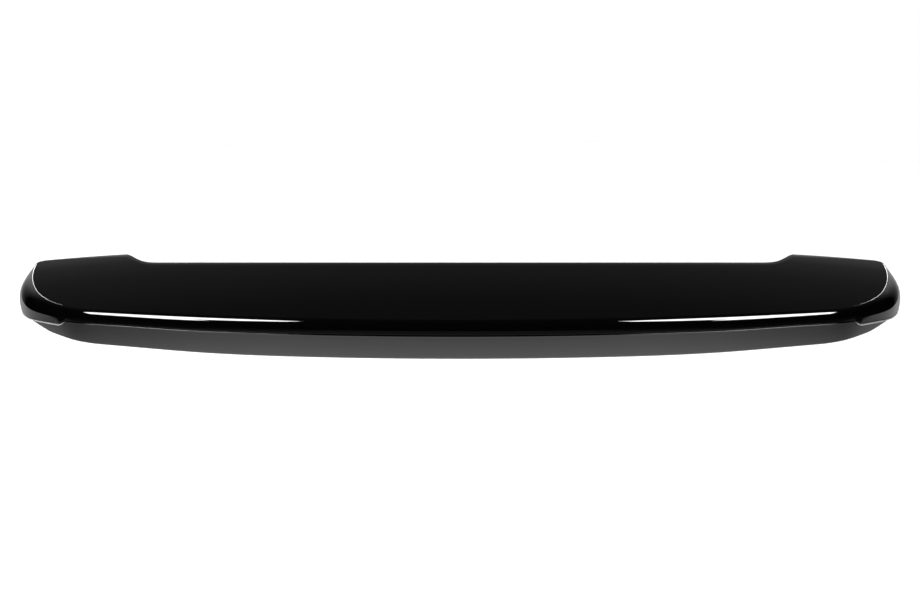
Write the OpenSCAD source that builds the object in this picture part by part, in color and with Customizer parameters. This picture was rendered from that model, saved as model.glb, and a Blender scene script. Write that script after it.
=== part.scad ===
// Roof spoiler for the top edge of a tailgate, 1.2 m wide: a gloss upper moulding with a crease and a
// bullnose edge, and a lower moulding nested in its rim, with fixings on the underside.
// X runs to the right, Y to the front of the car, Z up.

/* [Outline in plan] */
// Radius of the trailing edge
trail_r = 1960; // [1700:10:2300]
// Angle at which the trailing edge passes into the corner
trail_deg = 14.7; // [13.5:0.1:15.5]
// Radius of the rear corner
corner_r = 130; // [110:1:150]
// Angle at which the corner passes into the side
corner_deg = 70; // [66:0.5:74]
// Radius of the side
side_r = 250; // [200:5:320]
// Straight length at the front of the side
side_len = 17; // [12:1:30]
// Radius of the front corner of an ear
tip_r = 14; // [12:0.5:18]
// Depth of the panel from crease to front edge on the centre line
mid_depth = 194; // [170:1:215]
// Radius of the front edge between the ears
front_r = 3000; // [2400:20:4000]
// How far the ear's front edge bows forward of its corner
ear_rise = 4; // [1:0.5:8]
// Distance from the centre line to the foot of the ear's flank
flank_in = 416; // [400:1:430]
// Distance from the centre line to the head of the ear's flank
flank_out = 476; // [466:1:490]
// Skew of the flank: higher is softer at the foot and tighter at the head
flank_skew = 2.2; // [1.4:0.1:2.6]

/* [Top panel] */
// Fall of the panel towards the crease, in degrees
panel_fall = 6.5; // [4:0.5:9]
// Radius of the panel along the car
camber_r = 2500; // [1800:50:4000]
// Radius of the panel across the car
crown_r = 8000; // [6000:100:12000]
// Wall of both mouldings
wall = 3; // [2.4:0.1:3.4]
// Bond gap between the two mouldings
bond_gap = 0.3; // [0.2:0.05:0.5]
// Depth of the rim round the front edge
rim_h = 6.4; // [6.2:0.1:8]
// Radius along the top of the front edge
rim_r = 1.5; // [1:0.1:2.5]

/* [Bullnose] */
// Angle at which the bullnose leaves the crease
nose_deg = 72; // [66:1:78]
// Radius of the bullnose along the middle
nose_mid = 14.2; // [13:0.1:16]
// Radius where the bullnose is slimmest, before the corner
nose_slim = 12.6; // [12:0.1:14]
// Radius that the slim bullnose would reach again beyond the step
nose_swell = 13.5; // [12.8:0.1:14]
// Radius just outside the step in the lower edge
nose_step = 16.3; // [15:0.1:18]
// Radius at the side
nose_side = 28; // [24:0.5:30]
// Radius at the front corner of the ear
nose_tip = 3.6; // [3.2:0.1:4.2]
// Angle past level at which the bullnose turns under, along the middle
under_mid = 19; // [14:1:24]
// Angle past level at which it turns under, outside the step
under_side = 30; // [26:1:34]
// Distance from the centre line to the step in the lower edge
step_x = 536.5; // [530:0.5:544]
// Width over which the lower edge steps down
step_w = 8; // [6:1:14]
// Radius of the rolled lower edge along the middle
roll_mid = 2.2; // [1.8:0.1:2.6]
// Radius of the rolled lower edge outside the step
roll_side = 2.7; // [2.4:0.1:3]

/* [Lower moulding] */
// Height of the rear face below the bead, on the centre line
face_h = 46.4; // [38:0.2:54]
// Depth of the foot below the crease, towards the ears
corner_depth = 55.5; // [52:0.5:60]
// Length over which the rear face follows the lip again, outside the step
step_fade = 130; // [110:1:150]
// Lean of the rear face from upright, in degrees
face_lean = 36; // [30:1:42]
// Thickness of the bead under the lip, along the middle
bead_mid = 1.1; // [0.8:0.1:1.6]
// Thickness of the bead under the lip, outside the step
bead_side = 2.4; // [1.6:0.1:3]
// How far the bead stands out past the lip
bead_proud = 0.4; // [0.2:0.1:0.8]
// Radius along the foot of the rear face
foot_r = 10; // [7:0.5:13]
// Height of the flange bonded inside the lip
nest_h = 5; // [3:0.5:6]
// Width of the sealing land behind the foot
land_w = 20; // [16:1:26]
// Rise of the sealing land towards the front, in degrees
land_rise = 22; // [16:1:28]
// Height of the step up from the land to the floor
floor_step = 12; // [8:0.5:16]
// Width of the land along the front edge
front_land = 22; // [18:1:28]

/* [Fixings] */
// Distance of the inner fixings from the centre line
inner_x = 190; // [170:1:230]
// Distance of the inner fixings in front of the crease
inner_y = 78; // [74:1:84]
// Depth of the inner fixings' seats below the crease
inner_seat = 50; // [48:0.5:54]
// Distance of the outer fixings from the centre line
outer_x = 440; // [425:1:450]
// Distance of the outer fixings in front of the crease
outer_y = 138; // [130:1:148]
// Depth of the outer fixings' seats below the crease
outer_seat = 44; // [42:0.5:48]
// Distance of the locating pins from the centre line
pin_x = 310; // [290:1:340]
// Distance of the locating pins in front of the crease
pin_y = 92; // [88:1:100]
// Diameter of a boss
boss_d = 20; // [17:0.5:23]
// Height of a boss above its seat
boss_h = 24; // [22:0.5:28]
// Diameter of the flange at a boss's seat
seat_d = 30; // [26:1:34]
// Thickness of the flange at a boss's seat
seat_t = 3; // [2:0.5:4]
// Diameter of a threaded insert
insert_d = 9; // [8:0.5:10]
// Length of a threaded insert
insert_l = 15; // [12:0.5:18]
// Bore of a threaded insert
insert_bore = 5; // [4:0.5:6]
// Clearance round an insert in its boss
insert_fit = 0.15; // [0.12:0.01:0.3]
// Diameter of a locating pin
pin_d = 8; // [6:0.5:10]
// Diameter of a locating pin's foot
pin_foot_d = 14; // [12:0.5:18]
// Height of a pin's foot above its shoulder
pin_foot_h = 14; // [12:0.5:16]
// Length of a locating pin below its shoulder
pin_l = 14; // [10:0.5:18]

/* [Seals] */
// Hole in a boss gasket
gasket_hole = 12; // [10:0.5:14]
// Thickness of a boss gasket
gasket_t = 3; // [2:0.5:5]
// Thickness of the tape on the front land
tape_t = 1.1; // [0.8:0.1:2]
// Bare margin at each side of the tape
tape_margin = 4; // [2:0.5:6]
// Thickness of the seal on the rear land
seal_t = 2.5; // [2:0.5:4]
// Bare margin at each side of the seal
seal_margin = 1; // [0.5:0.5:3]
// Adhesive film between a strip and its land
film = 0.2; // [0.1:0.05:0.3]

/* [Hidden] */
$fn = 48;
eps = 0.01;
right_angle = 90;

// Small helpers
function blend(t) = let (c = min(max(t, 0), 1)) c * c * (3 - 2 * c);
function mix(a, b, t) = a + (b - a) * t;
function arc_len(r, a) = r * a * PI / 180;
function arc_deg(r, l) = l / r * 180 / PI;
function arc_end(p, r, a, b) = p + r * [sin(b) - sin(a), cos(a) - cos(b)];
function lift(p, z) = [p.x, p.y, z];

// The crease in plan is a chain of tangent arcs, given here for the right half
side_deg = right_angle;
tip_deg = 27;
trail_end = arc_end([0, 0], trail_r, 0, trail_deg);
corner_end = arc_end(trail_end, corner_r, trail_deg, corner_deg);
side_end = arc_end(corner_end, side_r, corner_deg, side_deg);
tip_start = side_end + [0, side_len];
tip_centre = tip_start - [tip_r, 0];

// Lengths along the crease, from the centre line to the end of each arc
s_trail = arc_len(trail_r, trail_deg);
s_corner = s_trail + arc_len(corner_r, corner_deg - trail_deg);
s_side = s_corner + arc_len(side_r, side_deg - corner_deg);
s_straight = s_side + side_len;
s_end = s_straight + arc_len(tip_r, tip_deg);

// Heading, place and outward direction of the crease at a length s
function heading(s) =
    s < s_trail ? arc_deg(trail_r, s)
    : s < s_corner ? trail_deg + arc_deg(corner_r, s - s_trail)
    : s < s_side ? corner_deg + arc_deg(side_r, s - s_corner)
    : s < s_straight ? side_deg
    : side_deg + arc_deg(tip_r, s - s_straight);
function crease(s) =
    s < s_trail ? arc_end([0, 0], trail_r, 0, heading(s))
    : s < s_corner ? arc_end(trail_end, corner_r, trail_deg, heading(s))
    : s < s_side ? arc_end(corner_end, side_r, corner_deg, heading(s))
    : s < s_straight ? side_end + [0, s - s_side]
    : arc_end(tip_start, tip_r, side_deg, heading(s));
function outward(s) = [sin(heading(s)), -cos(heading(s))];

// The front edge in plan: an arc between the ears, a flank, the bowed front of the ear and its corner
ear_y = tip_centre.y + tip_r;
function middle_y(x) = mid_depth + x * x / (2 * front_r);
function ear_line(x) = ear_y + ear_rise * (1 - pow(max(x - flank_out, 0) / (tip_centre.x - flank_out), 2));
function flank(x) = blend(pow(max(x - flank_in, 0) / (flank_out - flank_in), flank_skew));
function front_corner(q) = tip_centre + tip_r * [sin(q), cos(q)];
function front(w) = w <= tip_centre.x
    ? [w, mix(middle_y(w), ear_line(w), flank(w))]
    : front_corner(arc_deg(tip_r, w - tip_centre.x));
front_probe = 0.05;
function ahead(w) = let (d = front(w + front_probe) - front(w - front_probe)) [-d.y, d.x] / norm(d);

// Each station joins a point of the crease to a point of the front edge
w_end = tip_centre.x + arc_len(tip_r, tip_deg);
fan_x = 400;
s_fan = arc_len(trail_r, asin(fan_x / trail_r));
function front_at(s) = s < s_fan ? crease(s).x : mix(fan_x, w_end, (s - s_fan) / (s_end - s_fan));

// Height of the top panel over a point of the plan
function panel_z(p) = tan(panel_fall) * p.y - p.y * p.y / (2 * camber_r) - p.x * p.x / (2 * crown_r);
function under_panel(p, drop) = lift(p, panel_z(p) - drop);

// Section of the bullnose at a length s, as [outward, up] from the crease
slim_len = 140;
slim_lead = 20;
swell_lead = 15;
swell_len = 40;
fill_len = 42;
fade_len = 65;
function outside_step(s) = blend((crease(s).x - step_x) / step_w + 0.5);
function nose_thin(s) = mix(nose_mid, nose_slim, blend((s - s_trail + slim_len + slim_lead) / slim_len));
function nose_trail(s) = mix(nose_thin(s), nose_swell, blend((s - s_trail - swell_lead) / swell_len));
function nose_flank(s) = mix(nose_step, nose_side, blend((s - s_trail - fill_len) / (s_corner - s_trail)));
function nose_full(s) = mix(nose_trail(s), nose_flank(s), outside_step(s));
function nose_r(s) = mix(nose_full(s), nose_tip, blend((s - s_end + fade_len) / fade_len));
function under(s) = mix(under_mid, under_side, outside_step(s));
lip_flat = 0.3;
function roll_r(s) = min(mix(roll_mid, roll_side, outside_step(s)), 0.6 * nose_r(s), wall - lip_flat);
function polar(r, a) = r * [cos(a), sin(a)];
function nose_c(s) = -polar(nose_r(s), nose_deg);
function roll_at(nose, roll, turn) = polar(nose - roll, -turn) - polar(nose, nose_deg);
function roll_c(s) = roll_at(nose_r(s), roll_r(s), under(s));
function lip_low(s) = roll_c(s).y - roll_r(s);
function lip_in(s) = roll_c(s).x + roll_r(s) - wall;

// Place of a section point in the model
function at(s, q) = lift(crease(s) + outward(s) * q.x, panel_z(crease(s)) + q.y);

// The upper moulding's section: outside and inside, both from the front edge round to the lip
tip_solid = 12;
nose_steps = 7;
roll_steps = 3;
function roof_drop(s) = s < s_end - tip_solid ? wall : rim_h - bond_gap;
function fillet_r(s) = min(lip_in(s) - nose_c(s).x, 0.9 * (-lip_low(s) - roof_drop(s)));
function upper_out(s) = let (w = front_at(s), f = front(w), a = ahead(w), top = f - rim_r * a) concat(
    [under_panel(f, rim_h), under_panel(f, rim_r)],
    [for (q = [45, 90]) under_panel(top + rim_r * cos(q) * a, rim_r * (1 - sin(q)))],
    [for (t = [0.25, 0.5, 0.75]) under_panel(mix(top, crease(s), t), 0)],
    [for (i = [0:nose_steps]) at(s, nose_c(s) + polar(nose_r(s), mix(nose_deg, -under(s), i / nose_steps)))],
    [for (i = [1:roll_steps]) at(s, roll_c(s) + polar(roll_r(s), mix(-under(s), -90, i / roll_steps)))]);
function upper_in(s) = let (w = front_at(s), f = front(w) - wall * ahead(w), r = fillet_r(s), drop = roof_drop(s),
    c = [lip_in(s) - r, -drop - r], back = crease(s) + outward(s) * c.x) concat(
    [under_panel(f, rim_h)],
    [for (t = [0, 0.25, 0.5, 0.75]) under_panel(mix(f, back, t), drop)],
    [for (i = [0:4]) at(s, c + polar(r, 90 - 90 * i / 4))],
    [at(s, [lip_in(s), lip_low(s)])]);

// The lower moulding's section: bead under the lip, rear face, foot, sealing land, floor and front land
face_bow_r = 300;
step_lead = 38;
foot_from = 250;
foot_len = 450;
merge_from = 142;
merge_len = 50;
face_tip = 3.2;
tip_stop = 13;
ramp_run = 7;
in_foot = 0.5;
function bead_t(s) = mix(bead_mid, bead_side, outside_step(s));
function bead_c(s) = roll_c(s) + [roll_r(s) + bead_proud - bead_t(s) / 2, -roll_r(s) - bond_gap - bead_t(s) / 2];
function bead_low(s) = lip_low(s) - bond_gap - bead_t(s);
// Behind the lip's step the face runs on smoothly, hidden by the bead
function face_mid(s) = roll_at(nose_trail(s), roll_mid, under_mid) + [roll_mid, -roll_mid - bond_gap - bead_mid];
function face_side(s) = roll_c(s) + [roll_r(s), -roll_r(s) - bond_gap - bead_side];
function face_top(s) = mix(face_mid(s), face_side(s), blend((s - s_trail - step_lead) / step_fade));
function foot_run(s) = mix(face_top(0).y - face_h, -corner_depth, blend((s - s_trail + foot_from) / foot_len));
function foot_y(s) = mix(foot_run(s), bead_low(s) - face_tip, blend((s - s_end + merge_from) / merge_len));
function face_d(s) = face_top(s).y - foot_y(s);
function face_hidden(s) = max(0, (face_top(s).y - bead_low(s)) / face_d(s));
function face_l(s) = face_d(s) / cos(face_lean);
function lean_low(s) = face_lean + asin(face_l(s) / (2 * face_bow_r));
function face_foot(s) = face_top(s) - face_l(s) * [sin(face_lean), cos(face_lean)];
function face(s, t) = let (l = face_l(s), bow = l * l / (8 * face_bow_r))
    mix(face_top(s), face_foot(s), t) + 4 * bow * t * (1 - t) * [cos(face_lean), -sin(face_lean)];
function land_deg(s) = land_rise * cos(heading(s));
function land_dir(s) = [-cos(land_deg(s)), sin(land_deg(s))];
function foot_half(s) = (right_angle + lean_low(s) - land_deg(s)) / 2;
function foot_bis(s) = let (b = land_dir(s) + [sin(lean_low(s)), cos(lean_low(s))]) b / norm(b);
function foot_c(s, gap) = face_foot(s) + gap / sin(foot_half(s)) * foot_bis(s);
function foot_out(s) = min(foot_r, 0.3 * face_d(s));
function foot_arc(s, gap, r, i, n) = foot_c(s, gap) + polar(r, mix(-lean_low(s), -90 - land_deg(s), i / n));
function nest(s) = min(nest_h, -roof_drop(s) - fillet_r(s) - lip_low(s) - bond_gap);
function nest_foot(s) = [lip_in(s) - bond_gap, lip_low(s) - bond_gap];
function run_l(s) = let (w = front_at(s)) norm(front(w) - crease(s)) - 2 * wall;
function land_l(s) = min(land_w, 0.25 * run_l(s));
function land_end(s, up = 0) = at(s, face_foot(s) + land_l(s) * land_dir(s) + [0, up]);
function nest_front(s) = let (w = front_at(s)) front(w) - (wall + bond_gap) * ahead(w);
function flat(p) = [p.x, p.y];
function front_land_at(s) = let (a = flat(land_end(s)), b = nest_front(s), l = norm(b - a))
    mix(b, a, min(front_land, 0.35 * l) / l);
function floor_foot(s) = let (a = land_end(s), b = front_land_at(s), l = norm(b - flat(a)), run = min(ramp_run, 0.2 * l))
    lift(mix(flat(a), b, run / l), a.z + min(floor_step, 0.25 * (panel_z(b) - rim_h - a.z)));
function floor_at(s, t) = mix(floor_foot(s), under_panel(front_land_at(s), rim_h), t);
function shown_face(s, t) = face(s, mix(face_hidden(s), 1, t));
function lower_out(s) = concat(
    [at(s, nest_foot(s) + [0, bond_gap + nest(s)]), at(s, nest_foot(s))],
    [for (q = [90, 30, -30]) at(s, bead_c(s) + polar(bead_t(s) / 2, q))],
    [for (t = [0, 0.3, 0.6]) at(s, shown_face(s, t))],
    [for (i = [0:4]) at(s, foot_arc(s, foot_out(s), foot_out(s), i, 4))],
    [land_end(s)],
    [for (t = [0, 0.33, 0.67, 1]) floor_at(s, t)],
    [under_panel(nest_front(s), rim_h), under_panel(nest_front(s), wall + bond_gap)]);
function ledge_in(s) = let (g = nest_foot(s) - [wall, 0])
    [min(g.x, shown_face(s, 0).x - wall / cos(face_lean)), g.y - min(wall, (g.y - foot_y(s) - wall) / 2)];
function lower_in(s) = let (g = nest_foot(s) - [wall, 0], r = max(foot_out(s) - wall, in_foot)) concat(
    [at(s, g + [0, bond_gap + nest(s)]), at(s, ledge_in(s))],
    [at(s, shown_face(s, 0.4) - wall * [cos(face_lean), -sin(face_lean)])],
    [for (i = [0:2]) at(s, foot_arc(s, wall + r, r, i, 2))],
    [land_end(s, wall)],
    [for (t = [0, 0.5, 1]) floor_at(s, t) + [0, 0, wall]]);

// Stations along the crease, wide apart along the middle and close round the ears
mid_count = 11;
ear_count = 38;
upper_half = concat(
    [for (i = [0:mid_count - 1]) i * s_fan / mid_count],
    [for (i = [0:ear_count]) mix(s_fan, s_end, i / ear_count)]);
lower_half = [for (s = upper_half) if (s < s_end - tip_stop) s];
function within(h, a, b) = [for (s = h) if (s > a - eps && s < b + eps) s];
function both_sides(h) = concat([for (i = [len(h) - 1:-1:1]) -h[i]], h);
function facing(p, s) = s < 0 ? [-p.x, p.y, p.z] : p;

// Triangles between neighbouring rings of n points; the diagonals mirror about the middle ring
function skin(rings, n) = [for (i = [0:rings - 2], j = [0:n - 1])
    let (k = (j + 1) % n, a = i * n, b = a + n)
    each i < (rings - 1) / 2
        ? [[a + j, b + j, b + k], [a + j, b + k, a + k]]
        : [[a + j, b + j, a + k], [b + j, b + k, a + k]]];

// A thin-walled moulding swept through its sections, closed at both ends
module moulding(rings, n_out) {
    n = len(rings[0]);
    n_in = n - n_out;
    last = (len(rings) - 1) * n;
    function match(j) = n - 1 - round(j * (n_in - 1) / (n_out - 1));
    cap = concat(
        [for (j = [0:n_out - 2]) [j, j + 1, match(j)]],
        [for (j = [0:n_out - 2]) if (match(j) != match(j + 1)) [j + 1, match(j + 1), match(j)]]);
    polyhedron(
        points = [for (r = rings) each r],
        faces = concat(skin(len(rings), n), cap, [for (c = cap) [last + c[2], last + c[1], last + c[0]]]),
        convexity = 8);
}
function backwards(l) = [for (i = [len(l) - 1:-1:0]) l[i]];

function ring_upper(s) = concat(upper_out(s), backwards(upper_in(s)));
function ring_lower(s) = concat(lower_out(s), backwards(lower_in(s)));

// The model's origin is midway between the seats of the inner fixings
module in_place() { translate([0, -inner_y, inner_seat]) children(); }

// The four fixings, as [across, forward, seat height]
inner_at = [inner_x, inner_y, -inner_seat];
outer_at = [outer_x, outer_y, -outer_seat];
function opposite(p) = [-p.x, p.y, p.z];
fixings = [inner_at, opposite(inner_at), outer_at, opposite(outer_at)];
pin_shoulder = -(inner_seat + outer_seat) / 2;
bore_tip = 1;

module upper_shell() {
    color([0.02, 0.02, 0.02]) in_place()
        moulding([for (s = both_sides(upper_half)) [for (p = ring_upper(abs(s))) facing(p, s)]], len(upper_out(0)));
}

module boss() {
    cylinder(d = boss_d, h = boss_h);
    cylinder(d = seat_d, h = seat_t);
}

module locating_pin() {
    cylinder(d = pin_foot_d, h = pin_foot_h);
    translate([0, 0, -pin_l]) cylinder(d = pin_d, h = pin_l + pin_foot_h);
}

module lower_shell() {
    color([0.05, 0.05, 0.05]) in_place() difference() {
        union() {
            moulding([for (s = both_sides(lower_half)) [for (p = ring_lower(abs(s))) facing(p, s)]], len(lower_out(0)));
            for (p = fixings) translate(p) boss();
            for (x = [-pin_x, pin_x]) translate([x, pin_y, pin_shoulder]) locating_pin();
        }
        for (p = fixings) translate([p.x, p.y, p.z - bore_tip])
            cylinder(d = insert_d + 2 * insert_fit, h = insert_l + insert_fit + bore_tip);
    }
}

module threaded_inserts() {
    color([0.72, 0.60, 0.32]) in_place() for (p = fixings) translate(p) difference() {
        cylinder(d = insert_d, h = insert_l);
        translate([0, 0, -bore_tip]) cylinder(d = insert_bore, h = insert_l + 2 * bore_tip);
    }
}

module gasket(p) {
    color([0.14, 0.14, 0.15]) in_place() translate(p - [0, 0, gasket_t]) difference() {
        cylinder(d = seat_d, h = gasket_t);
        translate([0, 0, -bore_tip]) cylinder(d = gasket_hole, h = gasket_t + 2 * bore_tip);
    }
}

// A strip under a land, between the land's edges a and b, bare for a margin at each side
function strip_ring(a, b, margin, t) = let (l = norm(b - a), c = mix(a, b, margin / l), d = mix(b, a, margin / l),
    up = [0, 0, film], down = [0, 0, film + t]) [c - down, d - down, d - up, c - up];
module strip(rings) {
    last = (len(rings) - 1) * 4;
    polyhedron(
        points = [for (r = rings) each r],
        faces = concat([[0, 1, 2], [0, 2, 3]], [[last + 2, last + 1, last], [last + 3, last + 2, last]],
            skin(len(rings), 4)),
        convexity = 4);
}
function tape_ring(s) = strip_ring(under_panel(front_land_at(s), rim_h), under_panel(nest_front(s), rim_h), tape_margin, tape_t);
function seal_ring(s) = strip_ring(at(s, foot_arc(s, foot_out(s), foot_out(s), 4, 4)), land_end(s), seal_margin, seal_t);

// Lengths along the crease between which each strip runs
ear_tape_from = 548;
ear_tape_to = 690;
seal_to = 600;

module tape_middle() {
    half = within(lower_half, 0, s_fan);
    color([0.85, 0.15, 0.1]) in_place() strip([for (s = both_sides(half)) [for (p = tape_ring(abs(s))) facing(p, s)]]);
}

module tape_ear(side) {
    part = within(lower_half, ear_tape_from, ear_tape_to);
    color([0.85, 0.15, 0.1]) in_place() mirror([side < 0 ? 1 : 0, 0, 0]) strip([for (s = part) tape_ring(s)]);
}

module seal_rear() {
    half = within(lower_half, 0, seal_to);
    color([0.12, 0.12, 0.12]) in_place() strip([for (s = both_sides(half)) [for (p = seal_ring(abs(s))) facing(p, s)]]);
}

upper_shell();
lower_shell();
threaded_inserts();
gasket(opposite(inner_at));  // gasket_inner_left
gasket(inner_at);  // gasket_inner_right
gasket(opposite(outer_at));  // gasket_outer_left
gasket(outer_at);  // gasket_outer_right
tape_middle();
tape_ear(-1);  // tape_ear_left
tape_ear(1);  // tape_ear_right
seal_rear();
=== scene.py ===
import math

import bmesh
import bpy
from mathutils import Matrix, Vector


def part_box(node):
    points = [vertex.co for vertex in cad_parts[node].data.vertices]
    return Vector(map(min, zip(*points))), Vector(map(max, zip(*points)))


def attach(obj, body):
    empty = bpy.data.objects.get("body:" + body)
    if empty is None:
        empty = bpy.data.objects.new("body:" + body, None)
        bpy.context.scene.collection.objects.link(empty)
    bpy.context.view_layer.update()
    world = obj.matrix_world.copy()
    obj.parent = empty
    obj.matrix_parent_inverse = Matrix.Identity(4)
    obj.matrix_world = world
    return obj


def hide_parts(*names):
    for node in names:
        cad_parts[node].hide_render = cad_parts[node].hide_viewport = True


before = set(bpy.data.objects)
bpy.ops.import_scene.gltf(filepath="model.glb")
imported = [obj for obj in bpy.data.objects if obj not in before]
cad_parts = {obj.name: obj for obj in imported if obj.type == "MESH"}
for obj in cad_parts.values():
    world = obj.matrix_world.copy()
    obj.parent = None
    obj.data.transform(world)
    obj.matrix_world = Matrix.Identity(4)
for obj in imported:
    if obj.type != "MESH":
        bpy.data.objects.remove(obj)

bl_info = {
    "name": "Roof Spoiler",
    "version": (1, 0, 0),
    "blender": (4, 5, 0),
    "location": "View3D > Sidebar > Spoiler",
    "description": "Gloss black roof spoiler of two nested mouldings, with its fixings and seals",
    "category": "Object",
}


# Sizes and finishes that a user can change


def length(name, description, default):
    return bpy.props.FloatProperty(
        name=name, description=description, default=default, precision=4, unit="LENGTH")


def angle(name, description, degrees):
    return bpy.props.FloatProperty(
        name=name, description=description, default=math.radians(degrees), subtype="ANGLE")


def share(name, description, default):
    return bpy.props.FloatProperty(
        name=name, description=description, default=default, min=0.0, max=1.0, subtype="FACTOR")


def number(name, description, default):
    return bpy.props.FloatProperty(name=name, description=description, default=default, min=0.0)


def count(name, description, default):
    return bpy.props.IntProperty(name=name, description=description, default=default, min=1)


def colour(name, description, default):
    return bpy.props.FloatVectorProperty(
        name=name, description=description, default=default, size=3, min=0.0, max=1.0, subtype="COLOR")


def group_of(kind, name, description):
    return bpy.props.PointerProperty(type=kind, name=name, description=description)


class SpoilerPlan(bpy.types.PropertyGroup):
    """Outline of the spoiler seen from above"""
    trail_radius: length("Trailing edge radius", "Radius of the trailing edge", 1.96)
    trail_angle: angle("Trailing edge angle", "Angle at which the trailing edge meets the corner", 14.7)
    corner_radius: length("Corner radius", "Radius of the rear corner", 0.13)
    corner_angle: angle("Corner angle", "Angle at which the corner passes into the side", 70)
    side_radius: length("Side radius", "Radius of the side", 0.25)
    side_length: length("Side length", "Straight length at the front of the side", 0.017)
    tip_radius: length("Ear corner radius", "Radius of the front corner of an ear", 0.014)
    tip_angle: angle("Ear corner angle", "How far the crease runs round the ear's front corner", 44)
    middle_depth: length("Middle depth", "From crease to front edge on the centre line", 0.194)
    front_radius: length("Front edge radius", "Radius of the front edge between the ears", 3.0)
    ear_rise: length("Ear rise", "How far the ear's front edge bows forward of its corner", 0.004)
    flank_foot: length("Flank foot", "From the centre line to the foot of the ear's flank", 0.416)
    flank_head: length("Flank head", "From the centre line to the head of the ear's flank", 0.476)
    flank_skew: number("Flank skew", "Higher is softer at the foot and tighter at the head", 2.2)
    crease_back: length("Crease behind fixings", "From the inner fixings back to the crease", 0.078)
    crease_up: length("Crease above fixings", "From the inner fixings' seats up to the crease", 0.050)
    middle_stations: count("Middle stations", "Sections along half of the middle", 60)
    ear_stations: count("Ear stations", "Sections round one ear", 240)


class SpoilerPanel(bpy.types.PropertyGroup):
    """Top panel and walls"""
    fall: angle("Fall", "Fall of the panel towards the crease", 6.5)
    camber_radius: length("Camber radius", "Radius of the panel along the car", 2.5)
    crown_radius: length("Crown radius", "Radius of the panel across the car", 8.0)
    wall: length("Wall", "Wall of both mouldings", 0.003)
    bond_gap: length("Bond gap", "Gap between the two mouldings", 0.0003)
    rim_depth: length("Rim depth", "Depth of the rim round the front edge", 0.0064)
    rim_radius: length("Rim radius", "Radius along the top of the front edge", 0.0015)
    crease_softness: length("Crease softness", "Distance over which the crease is rounded off", 0.0007)


class SpoilerNose(bpy.types.PropertyGroup):
    """Bullnose edge and its rolled lip"""
    start_angle: angle("Start angle", "Angle at which the bullnose leaves the crease", 72)
    middle_radius: length("Middle radius", "Radius along the middle", 0.0142)
    slim_radius: length("Slim radius", "Radius where the bullnose is slimmest", 0.0126)
    swell_radius: length("Swell radius", "Radius that it would reach again just inside the step", 0.0135)
    step_radius: length("Step radius", "Radius just outside the step in the lower edge", 0.0163)
    side_radius: length("Side radius", "Radius at the side", 0.028)
    tip_radius: length("Tip radius", "Radius at the front corner of the ear", 0.0036)
    under_middle: angle("Under angle, middle", "How far past level it turns under along the middle", 19)
    under_side: angle("Under angle, side", "How far past level it turns under outside the step", 32)
    step_place: length("Step place", "From the centre line to the step in the lower edge", 0.5365)
    under_flank: angle("Under angle, flank", "How far past level it turns under along the ear's side", 20)
    step_width: length("Step width", "Width over which the lower edge steps down", 0.010)
    roll_middle: length("Lip radius, middle", "Radius of the rolled lower edge along the middle", 0.0022)
    roll_side: length("Lip radius, side", "Radius of the rolled lower edge outside the step", 0.0012)


class SpoilerLower(bpy.types.PropertyGroup):
    """Rear face, foot and underside of the lower moulding"""
    face_height: length("Face height", "Height of the rear face on the centre line", 0.0464)
    corner_depth: length("Corner depth", "Depth of the foot below the crease towards the ear", 0.0555)
    step_fade: length("Step fade", "Length over which the rear face takes up the lip's step", 0.130)
    face_lean: angle("Face lean", "Lean of the rear face from upright", 36)
    bow_radius: length("Face bow radius", "Radius of the rear face in section", 0.3)
    bead_middle: length("Bead thickness, middle", "Thickness of the bead along the middle", 0.0011)
    bead_side: length("Bead thickness, side", "Thickness of the bead outside the lip's step", 0.0017)
    bead_proud: length("Bead reach, middle", "How far the bead stands out past the lip", 0.0004)
    bead_reach: length("Bead reach, side", "How far the bead stands out outside the lip's step", 0.0014)
    bead_fall: angle("Bead fall", "Outward fall of the bead's top outside the step", 10)
    foot_radius: length("Foot radius", "Radius along the foot of the rear face", 0.01)
    nest_height: length("Nest height", "Height of the flange bonded inside the lip", 0.005)
    land_width: length("Land width", "Width of the sealing land behind the foot", 0.02)
    land_rise: angle("Land rise", "Rise of the sealing land towards the front", 22)
    floor_step: length("Floor step", "Step up from the land to the floor", 0.012)
    front_land: length("Front land", "Width of the land along the front edge", 0.022)
    soft_corner: length("Soft corner", "Distance over which the underside's corners are rounded", 0.0018)


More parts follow.
